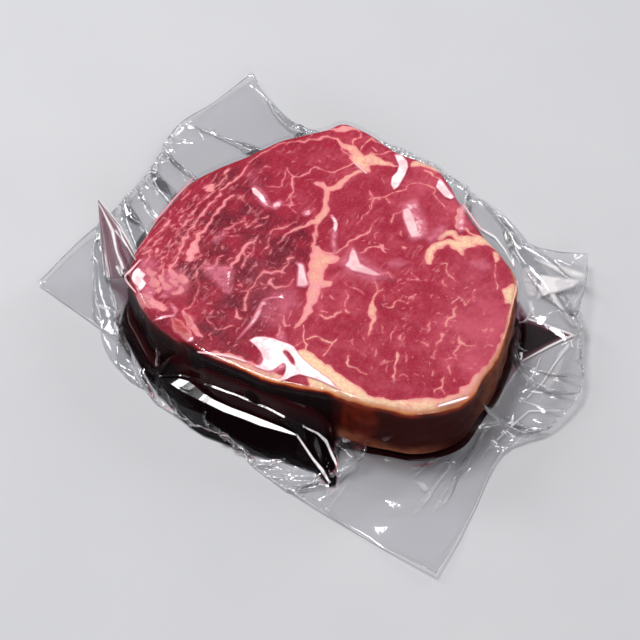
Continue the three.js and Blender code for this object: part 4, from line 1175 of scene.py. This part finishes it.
# Painted highlights of the film, where its folds and facets would throw back a lamp: share of white,
# then the bounds of the patch in view pixels. These end crisply.
HIGHLIGHT_PATCHES = [
    # the painted highlight of the swirl over the front left rim
    (1.0, [(248.4, 340.3), (255.2, 336.5), (262.9, 336.1), (272.8, 337.6), (279, 340), (288.1, 343), (294.3, 346.4),
           (298, 352), (303.5, 358.7), (314.2, 367.8), (329.5, 378.6), (343, 391.3), (330, 385.5), (318, 380),
           (307, 376.5), (299, 374.5), (291, 377), (286.5, 380), (280.5, 380.8), (279, 378.4), (283, 375.5),
           (285.3, 371), (285.6, 366), (284, 362.5), (279, 366.5), (273, 370.8), (266.7, 371.3), (256.8, 368),
           (245.3, 362.6), (247, 360.6), (254, 364), (260, 365), (262.9, 359.5), (260.6, 352.5), (256, 346.4)]),
    # painted highlight streaks over the upper muscles and the seam
    (.97, [(251.1, 187.9), (254.2, 186.5), (258.5, 190), (264.1, 195.6), (266.9, 201.9), (270, 205.6),
           (266.2, 205.6), (262, 202.5), (257.1, 197), (252.8, 193.5)]),
    (1.0, [(328.5, 214.5), (333, 215), (336.5, 219), (338.2, 224), (337.5, 230), (334.5, 233), (332.8, 229),
           (333.5, 223), (331.5, 218.5)]),
    (1.0, [(393.5, 153), (402, 155), (407.5, 161), (408.5, 167), (405, 176), (398.5, 187), (393.5, 190.5),
           (390.5, 184), (391.5, 177), (397, 171.5), (398.5, 165.5), (395.5, 158)]),
    (1.0, [(439.5, 176.5), (443.8, 182), (448.8, 189.5), (455, 197), (451.5, 199.8), (444.5, 197),
           (439.5, 191.5), (435.5, 187), (437.5, 181)]),
    (.90, [(402, 209), (409, 206), (413.5, 214), (418, 226), (420, 237), (411, 239), (406.5, 229), (402.5, 218)]),
    (.88, [(352.5, 246), (356.5, 251), (358.5, 257), (361, 263), (371, 268), (378, 272), (385, 275.3),
           (374.5, 277), (363, 274), (352, 271.3), (343.5, 265.5), (348, 260), (349, 253)]),
    (.90, [(295.5, 262), (303.5, 263), (305.5, 269), (307, 277.5), (309.8, 284.5), (304.5, 287.5),
           (296.3, 286.5), (296.8, 277), (297.8, 267)]),
    (1.0, [(281.5, 291.5), (285, 299.3), (278, 297.8)]),
    (.86, [(280, 296), (278, 298.3), (272, 298.6), (265, 300.8), (269, 304.8), (263, 306), (261.5, 313.5),
           (256.5, 321), (251.5, 326.5), (244, 334), (234, 344.5), (243, 331.5), (249, 324), (253, 316.5),
           (257, 308.5), (260.3, 302), (264, 298.6), (272, 296.2)]),
    (.96, [(226.5, 271), (231.5, 270), (230, 279), (229, 287), (228.5, 293), (226.5, 289), (227, 280)]),
    # painted highlights over the left-hand tip and the lumps of fat beside it
    (1.0, [(132.5, 272), (138.9, 265.8), (141.5, 270.5), (146.5, 274), (143, 279), (146.5, 283), (144, 288),
           (139, 292), (137, 286), (133.5, 283.5), (131, 278.5)]),
    (.97, [(151.5, 321), (157, 317.5), (163, 315.5), (174.5, 314.3), (175.5, 317), (168, 317.5), (160, 319.5)]),
    (.78, [(168.5, 300), (173, 304), (179, 309.5), (175.5, 316), (173, 311), (170.5, 306)]),
    (.95, [(186, 341), (193, 334), (194, 341.5)]),
    # painted reflections on facets of the free film at the right and in front
    (.82, [(539, 274.8), (554.3, 276.8), (582.4, 279.5), (573, 287), (559.7, 291.6), (547.6, 294.3),
           (537, 299.6), (538.2, 289.6), (541, 281.5)]),
    (.78, [(534, 258.6), (552, 263.5), (584, 273), (584.5, 279), (570, 278.5), (550, 268)]),
    (.75, [(549.5, 293.6), (554.5, 293.6), (566, 313), (577, 326.5), (571, 326), (558, 311)]),
    (.75, [(528, 301), (532, 301), (536, 316), (532.5, 317), (530, 311)]),
    (.65, [(572, 339.5), (569, 349), (561, 357), (554, 363), (559, 352)]),
    (.35, [(408, 469), (425, 462), (440, 458), (430, 466), (418, 471)]),
    (.45, [(412, 481), (424, 482), (430, 490), (424, 492), (418, 485)]),
]
# Clear places inside the painted highlight patches.
OPENINGS = [
    [(283, 349.6), (288, 351.6), (293.2, 358), (295.6, 365), (292, 364), (288.6, 358.4), (283.6, 353)],
    [(273, 371.5), (279, 367.8), (284.5, 363.5), (285, 368), (282.7, 373.5), (278.5, 377), (273.5, 375)],
]
# Milky haze and painted soft highlights of the film, which fade out softly: share of white, half the width of the soft
# edge, then the bounds.
HAZE_AND_HIGHLIGHTS = [
    (.13, 4, [(248, 168), (257, 170), (260, 182), (257, 190), (250, 186), (246, 176)]),
    (.62, 2, [(252, 185), (260, 188), (267, 196), (270, 204), (276, 207), (266, 208), (257, 199)]),
    (.80, 2, [(271, 208), (274, 203), (280, 200), (283, 202), (281, 206), (276, 209.5)]),
    (.85, 1.6, [(301.5, 213.5), (305, 210.5), (311, 210), (310, 214.5), (305, 216.5)]),
    (.66, 2, [(332.5, 230), (337, 229), (336, 240), (336.8, 251), (333.5, 253.5), (331.5, 243)]),
    (.74, 4.5, [(403, 204), (416, 200), (421, 214), (426, 226), (429, 235), (420, 238), (412, 240), (406, 224)]),
    (.50, 4, [(426, 238), (440, 226), (448, 226), (440, 238), (430, 242)]),
    (.72, 2.4, [(460.5, 206), (464.5, 206), (463.7, 214), (465.8, 223), (463.7, 230), (458.9, 232), (456, 224), (458.5, 214)]),
    (.38, 4.5, [(350, 246), (362, 254), (372, 264), (396, 278), (372, 281), (344, 272), (340, 262)]),
    (.46, 4, [(203, 267), (216, 265), (232, 267), (234, 272), (230.5, 294), (224, 292), (216, 282), (205, 274)]),
    (.72, 1.8, [(203, 268.5), (210, 266.5), (217, 265.5), (216, 268.5), (208, 271)]),
    (.26, 9, [(262, 303), (276, 298), (286, 306), (288, 322), (272, 328), (260, 318)]),
    (.70, 2.5, [(262, 352), (284, 350), (290, 366), (270, 374), (258, 366)]),
    (.60, 3, [(276, 338), (283, 328), (287, 344)]),
    (.42, 5, [(140, 260), (152, 256), (158, 270), (157, 288), (148, 298), (138, 292)]),
    (.72, 2, [(147, 292), (151, 290), (156, 293), (152, 296)]),
    (.66, 2, [(160, 297.5), (164, 292), (168, 297.5)]),
    (.06, 12, [(450, 250), (500, 262), (504, 320), (480, 370), (440, 340)]),
    (.06, 12, [(250, 262), (300, 268), (300, 330), (256, 330)]),
    (.38, 2, [(524, 268), (533, 267), (538, 276), (536, 296), (528, 296), (523, 280)]),
    (.34, 10, [(272, 292), (292, 286), (297, 304), (286, 316), (270, 308)]),
    (.34, 2.4, [(212, 240), (220, 233), (228, 230), (224, 238), (216, 244)]),
    (.30, 2.4, [(386, 262), (398, 258), (410, 262), (400, 268), (390, 268)]),
    (.30, 2.2, [(470, 262), (484, 258), (492, 268), (480, 272)]),
    (.32, 4, [(165, 270), (184, 270), (189, 284), (186, 296), (166, 296), (160, 284)]),
    (.35, 3, [(565, 352), (560, 372), (550, 390), (540, 402), (546, 384), (556, 366)]),
]
# Sharp bends of the film, whitened, and painted highlight lines along bends and rims, as bright lines: share of white,
# then x, y and width in view pixels.
BENDS_AND_GLINTS = [
    (.85, [(198, 352, 1.8), (210, 353.4, 2.4), (222, 354.8, 2.8), (233, 357, 2.6), (246, 361.6, 2)]),
    (1.0, [(438, 406, 1.6), (452, 402, 3), (468, 397, 2)]),
    (.75, [(353, 162, 1.8), (360, 167, 3.2), (366.5, 173.5, 1.8)]),
    (.80, [(463, 204, 1.6), (472, 217, 2), (481, 229, 2.4), (495, 237, 2.4), (505, 250, 2), (514, 267, 1.8)]),
    (1.0, [(297.5, 436, 1.8), (313, 459, 2.4), (322, 470, 3.4), (329, 482, 1.8)]),
    (1.0, [(304, 427, 1.6), (318, 433.5, 2), (326, 441, 3.2), (329.5, 449, 2.2), (334, 459, 3), (337.5, 467, 1.8)]),
    (.70, [(568, 345, 1.8), (561, 355, 2.4), (553, 366, 1.8), (543, 382, 1.6), (527, 398, 1.4)]),
    (.85, [(528, 319, 1.6), (542, 323, 2.8), (552, 327, 2.4), (574, 335, 2.4), (560, 341, 2.2), (547.6, 347, 2.4),
           (522, 361, 1.6)]),
    (.50, [(519, 368, 1.6), (505, 389, 2), (497, 406, 1.6)]), (.50, [(540, 358, 1.8), (535, 372, 2), (526, 385, 1.6)]),
    (.60, [(583, 320, 2), (578, 346, 2), (581, 371, 1.8)]),
    (.55, [(497, 440, 1.8), (514, 424, 2), (529, 411, 2.2), (545, 410.5, 1.8), (560, 410.5, 1.6)]),
    (.85, [(140.5, 259.6, 1.2), (132, 269, 2.2), (123.6, 276.6, 2), (129, 284.5, 2.2), (136, 292.5, 1.2)]),
    (.60, [(153.5, 223, 1.6), (173, 200, 2), (193, 178, 1.6)]),
]


CRISP_FROM = 0.93           # patches with less white than this have edges softer by this much
SOFT_EDGE = 1.8


def nearest_stretch(x, y, path, half):
    """Distance from each place to a stroke, the stroke's half width at the nearest point, the
    side it lies on, as 1 or -1, and how far it is past either end."""
    nearest = np.full(x.shape, 1e6)
    width = np.ones(x.shape)
    side = np.ones(x.shape)
    over = np.zeros(x.shape)
    last = len(path) - 2
    for k, (start, end, from_half, to_half) in enumerate(zip(path, path[1:], half, half[1:])):
        along = end - start
        share = ((x - start[0]) * along[0] + (y - start[1]) * along[1]) / (along @ along)
        beyond = np.maximum(-share if k == 0 else 0, share - 1 if k == last else 0)
        share = np.clip(share, 0, 1)
        away = np.hypot(x - start[0] - share * along[0], y - start[1] - share * along[1])
        closer = away < nearest
        nearest = np.where(closer, away, nearest)
        width = np.where(closer, from_half + share * (to_half - from_half), width)
        turn = along[0] * (y - start[1]) - along[1] * (x - start[0])
        side = np.where(closer, np.where(turn < 0, -1, 1), side)
        over = np.where(closer, np.maximum(beyond, 0) * math.hypot(*along), over)
    return nearest, width, side, over


def ridge_height(x, y):
    """Each ridge is its steepness times its half width high at the crest; it falls as
    (1 - q^2)^2, where q is the distance from the crest in half widths."""
    highest = np.zeros_like(x)
    for steepness, stroke in RIDGES:
        marks = np.asarray(stroke, float)
        path = on_face(marks[:, :2], STEAK_TOP)
        away, width, _, _ = nearest_stretch(x, y, path, marks[:, 2] / 2 * PIXEL_SIZE)
        highest = np.maximum(highest, steepness * width * np.clip(1 - (away / width) ** 2, 0, 1) ** 2)
    return highest


def highlight_shares(points):
    """Share of white in the crisp patches of painted highlight, laid on a little past their bounds;
    the distance in view pixels past those bounds, less than 0 inside; and the share of the haze
    and painted soft highlights, which ease out over their soft edges."""
    x, y = in_view(points)
    crisp = np.zeros_like(x)
    past = np.full(x.shape, 9.0)
    haze_and_highlight = np.zeros_like(x)
    for share, border in HIGHLIGHT_PATCHES:
        blur = 1.0 if share > CRISP_FROM else SOFT_EDGE
        away = field_distance(x, y, np.array(border, float)) / blur
        crisp = np.maximum(crisp, share * ease(3.2, 1.8, away))
        past = np.minimum(past, away)
    for border in OPENINGS:
        past = np.maximum(past, -field_distance(x, y, np.array(border, float)))
    for share, soft, border in HAZE_AND_HIGHLIGHTS:
        haze_and_highlight = np.maximum(haze_and_highlight, share * ease(soft, -soft, field_distance(x, y, np.array(border, float))))
    return crisp, past, haze_and_highlight


def bend_and_glint_lines(points):
    """Share of white of the nearest bend or painted glint line, which ends a little past its edges and
    its ends, and the distance across it in half widths, with opposite signs on its two sides."""
    x, y = in_view(points)
    nearest = np.full(x.shape, 9.0)
    across = np.full(x.shape, 9.0)
    shares = np.zeros_like(x)
    for share, stroke in BENDS_AND_GLINTS:
        marks = np.asarray(stroke, float)
        away, width, side, over = nearest_stretch(x, y, marks[:, :2], marks[:, 2] / 2)
        closer = away < nearest
        nearest = np.where(closer, away, nearest)
        across = np.where(closer, side * away / width, across)
        shares = np.where(closer, share * ease(4, 2.5, away - width) * ease(1.5, 0, over), shares)
    return shares, np.clip(across, -9, 9)


def with_folds(sheet):
    """Lifts the film over the face by its folds."""
    folded = sheet.copy()
    on_top = ease(STEAK_TOP - 14, STEAK_TOP - 4, sheet[..., 2])
    folded[..., 2] += ridge_height(sheet[..., 0], sheet[..., 1]) * on_top
    return folded


def sharpness(sheet):
    """How sharply the film is folded at each point, as a share of a radius of one
    millimetre: the second difference along the grid over the spacing squared."""
    bend = np.zeros(sheet.shape[:2])
    for axis in (0, 1):
        row = np.moveaxis(sheet, axis, 0)
        second = row[:-2] + row[2:] - 2 * row[1:-1]
        spacing = (np.linalg.norm(row[2:] - row[1:-1], axis=-1) + np.linalg.norm(row[1:-1] - row[:-2], axis=-1)) / 2
        np.moveaxis(bend, axis, 0)[1:-1] += np.linalg.norm(second, axis=-1) / (spacing ** 2 + 1e-9)
    return bend


def lower_web(upper):
    """The web that lies below: in the seal it keeps just under the upper one; inside, its
    plan is the even blend of the four borders and it settles on the ground."""
    rows, columns, _ = upper.shape
    u = np.linspace(0, 1, columns)[None, :, None]
    v = np.linspace(0, 1, rows)[:, None, None]
    corners = ((1 - u) * (1 - v) * upper[0, 0] + u * (1 - v) * upper[0, -1]
               + (1 - u) * v * upper[-1, 0] + u * v * upper[-1, -1])
    web = ((1 - v) * upper[:1] + v * upper[-1:] + (1 - u) * upper[:, :1] + u * upper[:, -1:]) - corners
    from_border = np.minimum(
        np.minimum(u, 1 - u) * FILM_LENGTH, np.minimum(v, 1 - v) * FILM_WIDTH)[..., 0]
    inside = ease(7, 22, from_border)[..., None]
    ground = upper.copy()
    ground[..., :2] = web[..., :2]
    lift = upper[..., 2] * ease(26, 8, from_border)
    ground[..., 2] = np.clip(np.minimum(lift, upper[..., 2] - 0.3), FLOOR_GAP, None)
    sealed = upper - 0.15 * sheet_normals(upper)
    sealed[..., 2] = np.maximum(sealed[..., 2], FLOOR_GAP)
    return sealed * (1 - inside) + ground * inside


# The fin: film pinched up into a double pleat beside the left-hand tip of the steak.
FIN_TIP = (-94.6, 39.2, 34)
FIN_FOOT = (-94.8, 21.9, 3)
FIN_SHOULDER = (-83.9, 24.2, 35)
FIN_ROOT = (-75.7, 8.0, 34)
FIN_SAG = (-81.4, 0.7, 30)
FIN_GRID = (60, 50)
FIN_PLEATS = 3
# Painted highlights along the pleat lines of the fin: x, y and width in view pixels.
FIN_LINES = [
    [(99, 203, 1.2), (106, 216, 2), (113.4, 230.8, 2.8), (117.4, 251.2, 2.6), (124.6, 268.6, 2.2)],
    [(116.4, 230.8, 1.6), (122, 238, 2), (128, 247, 1.4)], [(118, 267, 2), (122, 272, 4), (124, 275, 3)],
]
# Share of light that film throws back face on: free, wet against the face, against the side,
# and against deep juice.
FREE_GLOSS, FACE_GLOSS, WALL_GLOSS, SHELF_GLOSS = 0.07, 0.025, 0.0025, 0.002
# A pocket of juice between the webs at the right, bounded in view pixels.
POCKET = [(519, 303), (528, 319), (542, 323), (552, 327), (574, 334.5), (547.6, 347), (522, 361), (506, 384), (510, 362), (516, 330)]


def fin_surface():
    """Straight lines from the outer edge, tip to foot, to the inner edge, tip to shoulder
    to root; the lower rim sags through a point beside the root. Pleats fan out from the
    tip as a triangle wave of the share across, and both layers stand off that surface."""
    tip, foot, shoulder, root, sag = (np.array(p, float) for p in (FIN_TIP, FIN_FOOT, FIN_SHOULDER, FIN_ROOT, FIN_SAG))
    s = np.linspace(0.02, 1, FIN_GRID[0])[:, None, None]
    t = np.linspace(0, 1, FIN_GRID[1])[None, :, None]
    outer = tip + (foot - tip) * s
    inner = np.where(s < 0.5, tip + (shoulder - tip) * 2 * s, shoulder + (root - shoulder) * (2 * s - 1))
    dip = sag - (foot + root) / 2
    plane = (1 - t) * outer + t * inner + dip * 4 * t * (1 - t) * s ** 3
    normal = sheet_normals(plane)
    wave = np.abs((t * FIN_PLEATS + 0.25) % 1 - 0.5) * 4 - 1
    edge = ease(0, 0.12, t) * ease(1, 0.88, t)
    plane = plane + normal * wave * 1.1 * s * edge
    gap = normal * (0.12 + 0.5 * edge * s)
    # white along the pleat crests, the rims and the fin lines: partly whitened film, partly painted highlights
    crest = ease(0.82, 1, wave) * 0.9 + ease(0.85, 1, -wave) * 0.35
    rim = ease(0.05, 0.01, np.minimum(t, 1 - t)) * 0.9
    white = np.maximum(crest, rim)[..., 0] + np.zeros(FIN_GRID)
    x, y = in_view(plane)
    for line in FIN_LINES:
        marks = np.array(line)
        away, width, _, _ = nearest_stretch(x, y, marks[:, :2], marks[:, 2] / 2)
        white = np.maximum(white, ease(0.6, -0.6, away - width))
    return plane + gap, plane - gap, white


def make_film(upper, material):
    """Both webs, joined round the border: the upper at full fineness, the lower at half.
    The fin is a closed pleat of the same film."""
    rows, columns, _ = upper.shape
    top = np.arange(rows * columns).reshape(rows, columns)
    lower = lower_web(upper)[::2, ::2]
    low = rows * columns + np.arange(lower.shape[0] * lower.shape[1]).reshape(lower.shape[:2])
    fine, coarse = ring_of(top), ring_of(low)
    faces = quads(top)[:, ::-1].tolist() + quads(low).tolist()
    at, after = fine[::2], np.roll(fine, -2)[::2]
    between = fine[1::2]
    below = np.roll(coarse, -1)
    faces += np.stack([at, coarse, between], 1).tolist()
    faces += np.stack([between, coarse, below], 1).tolist()
    faces += np.stack([between, below, after], 1).tolist()
    front, back, fin_white = fin_surface()
    above = upper.reshape(-1, 3)
    points = np.vstack([above, lower.reshape(-1, 3), front.reshape(-1, 3), back.reshape(-1, 3)])
    first = len(points) - 2 * front[..., 0].size
    one = first + np.arange(front[..., 0].size).reshape(FIN_GRID)
    other = one + one.size
    faces += quads(one)[:, ::-1].tolist() + quads(other).tolist()
    rim, back_rim = ring_of(one), ring_of(other)
    faces += np.stack([rim, np.roll(rim, -1), np.roll(back_rim, -1), back_rim], 1).tolist()
    piece = make_piece("film", points, faces, material)
    rest = np.zeros(lower[..., 0].size)
    fin = np.zeros(2 * one.size)
    distance = clearance(above)[0]
    touch = ease(3.0, 1.0, distance)
    wall = ease(STEAK_TOP - 0.5, STEAK_TOP - 3, above[:, 2])
    shelf = SHELF_SHARE[profile_place(np.arctan2(above[:, 1], above[:, 0]))] * wall
    wet = FACE_GLOSS * (1 - wall) + WALL_GLOSS * wall * (1 - shelf) + SHELF_GLOSS * shelf
    gloss = FREE_GLOSS * (1 - touch) + wet * touch
    paint(piece, "gloss", np.r_[gloss, rest + FREE_GLOSS, fin + FREE_GLOSS])
    # painted highlights of the film, its haze and soft highlights, and its bright bends and glint lines, laid where
    # the view sees them
    painted_highlight, past, haze_and_highlight = highlight_shares(above)
    paint(piece, "painted_highlight", np.r_[painted_highlight, rest, fin_white.ravel(), fin_white.ravel()])
    paint(piece, "cloud", np.r_[haze_and_highlight, rest, fin])
    paint(piece, "past", np.r_[past, rest, fin - 9])
    bend, across = bend_and_glint_lines(above)
    paint(piece, "bend", np.r_[bend, rest, fin])
    paint(piece, "across", np.r_[across, rest + 9, fin + 9])
    pocket = ease(4, -7, field_distance(*in_view(above), np.array(POCKET, float)))
    paint(piece, "wet", np.r_[pocket, rest, fin + 0.5])
    paint(piece, "crease", np.r_[sharpness(upper).ravel(), rest, fin])
    u = np.minimum(np.arange(columns), np.arange(columns)[::-1]) * FILM_LENGTH / (columns - 1)
    v = np.minimum(np.arange(rows), np.arange(rows)[::-1]) * FILM_WIDTH / (rows - 1)
    border = np.minimum(u[None, :], v[:, None])
    paint(piece, "border", np.r_[border.ravel(), border[::2, ::2].ravel(), fin + 9])
    return piece


def make_juice(material):
    """A closed ring: its outer side runs from level line to level line of the juice, its
    inner side is just inside the meat."""
    around = np.linspace(-np.pi, np.pi, 1080, endpoint=False)
    reach = reach_at(around)
    square = np.interp(around, BEARINGS, SQUARENESS)
    place = profile_place(around)
    shelf = SHELF_SHARE[place]
    top = PROFILE_HEIGHTS[5][place]
    crest = (0.3 + 1.15 * np.minimum(PROFILE_DEPTHS[0][place], 5)) * (1 - shelf) + top * shelf
    scale = (crest - JUICE_BASE) / (top - JUICE_BASE)
    rings, depths, ledges = [], [], []

    def ring(out, height, depth, ledge):
        rings.append(np.stack([out * np.cos(around), out * np.sin(around), height], 1))
        depths.append(np.clip(depth / 6, 0, 1))
        ledges.append(np.full_like(around, ledge))

    for k in range(5):
        low, high = PROFILE_HEIGHTS[k][place], PROFILE_HEIGHTS[k + 1][place]
        for share in ((0, 0.3, 0.6, 0.97) if k == 0 else (0.03, 0.1, 0.5, 0.9, 0.97)):
            height = JUICE_BASE + (low + share * (high - low) - JUICE_BASE) * scale
            depth = juice_depth(around, height)
            if k == 4 and share > 0.9:
                depth = depth - 2.2
            ring(reach + SIDE_BULGE / 2 + (depth + FILM_OFF - 0.45) / square, height, depth, k in (1, 3))
    for height in (crest - 0.4 * scale, JUICE_BASE + 0 * crest):
        ring(reach - 4, height, 6 + 0 * crest, 0)
    index = np.arange(len(rings) * len(around)).reshape(len(rings), len(around))
    faces = []
    for one, other in zip(index, np.roll(index, -1, axis=0)):
        faces.append(np.stack([one, np.roll(one, -1), np.roll(other, -1), other], 1))
    piece = make_piece("juice", np.vstack(rings), np.vstack(faces).tolist(), material)
    paint(piece, "depth", np.concatenate(depths))
    paint(piece, "ledge", np.concatenate(ledges))
    return piece


# ---- stage ------------------------------------------------------------------------------------

def make_floor():
    material, tree = blank("matt pale grey studio board")
    place = add(tree, "TexCoord").outputs["Object"]
    colour = mixed(tree, noise(tree, place, 60), linear("#C3C3C6"), linear("#C9C9CB"))
    shader = add(tree, "BsdfPrincipled", {"Base Color": colour, "Roughness": 0.85})
    add(tree, "OutputMaterial", {"Surface": shader.outputs[0]})
    reach = 3.0
    mesh = bpy.data.meshes.new("floor")
    mesh.from_pydata([(-reach, -reach, 0), (reach, -reach, 0), (reach, reach, 0), (-reach, reach, 0)], [], [(0, 1, 2, 3)])
    mesh.materials.append(material)
    floor = bpy.data.objects.new("floor", mesh)
    bpy.context.collection.objects.link(floor)
    return floor


def soft_box(name, place, aim, size, power):
    """An area lamp of size width by height metres, facing aim."""
    lamp = bpy.data.lights.new(name, "AREA")
    lamp.shape = "RECTANGLE"
    lamp.size, lamp.size_y = size
    lamp.energy = power
    holder = bpy.data.objects.new(name, lamp)
    bpy.context.collection.objects.link(holder)
    holder.location = place
    holder.rotation_euler = (Vector(aim) - Vector(place)).to_track_quat("-Z", "Y").to_euler()


def make_camera():
    tilt = math.radians(VIEW_ELEVATION)
    target = Vector(SHIFT / 1000)
    place = target + VIEW_DISTANCE / 1000 * Vector((0, -math.cos(tilt), math.sin(tilt)))
    camera = bpy.data.cameras.new("camera")
    half = math.atan(VIEW_PIXELS / 2 * PIXEL_SIZE / VIEW_DISTANCE)
    camera.sensor_width = SENSOR
    camera.lens = SENSOR / (2 * math.tan(half))
    holder = bpy.data.objects.new("camera", camera)
    bpy.context.collection.objects.link(holder)
    holder.location = place
    holder.rotation_euler = (target - place).to_track_quat("-Z", "Y").to_euler()
    bpy.context.scene.camera = holder


def light_the_stage():
    scene = bpy.context.scene
    scene.view_settings.view_transform = "Standard"
    world = bpy.data.worlds.new("studio")
    world.use_nodes = True
    world.node_tree.nodes["Background"].inputs[0].default_value = linear("#A9ABB2")
    world.node_tree.nodes["Background"].inputs[1].default_value = 0.32
    scene.world = world
    middle = (0.0, 0.0, 0.02)
    soft_box("overhead box", (-0.25, 0.17, 1.10), middle, (0.32, 0.32), 8.7)
    soft_box("front fill", (0.25, -0.95, 0.62), middle, (0.5, 0.3), 3.2)
    soft_box("left box", (-0.72, 0.52, 0.80), middle, (0.22, 0.5), 3.8)
    soft_box("right box", (0.80, 0.55, 0.62), middle, (0.2, 0.6), 3.4)


# ---- the pieces, put together -------------------------------------------------------------------
steak = make_steak(raw_beef())
film = make_film(with_folds(crumpled(relaxed_film())), clear_film())
juice = make_juice(meat_juice())
floor = make_floor()

for piece in (steak, film, juice):
    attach(piece, "root")
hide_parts("steak")
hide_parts("pouch")
make_camera()
light_the_stage()
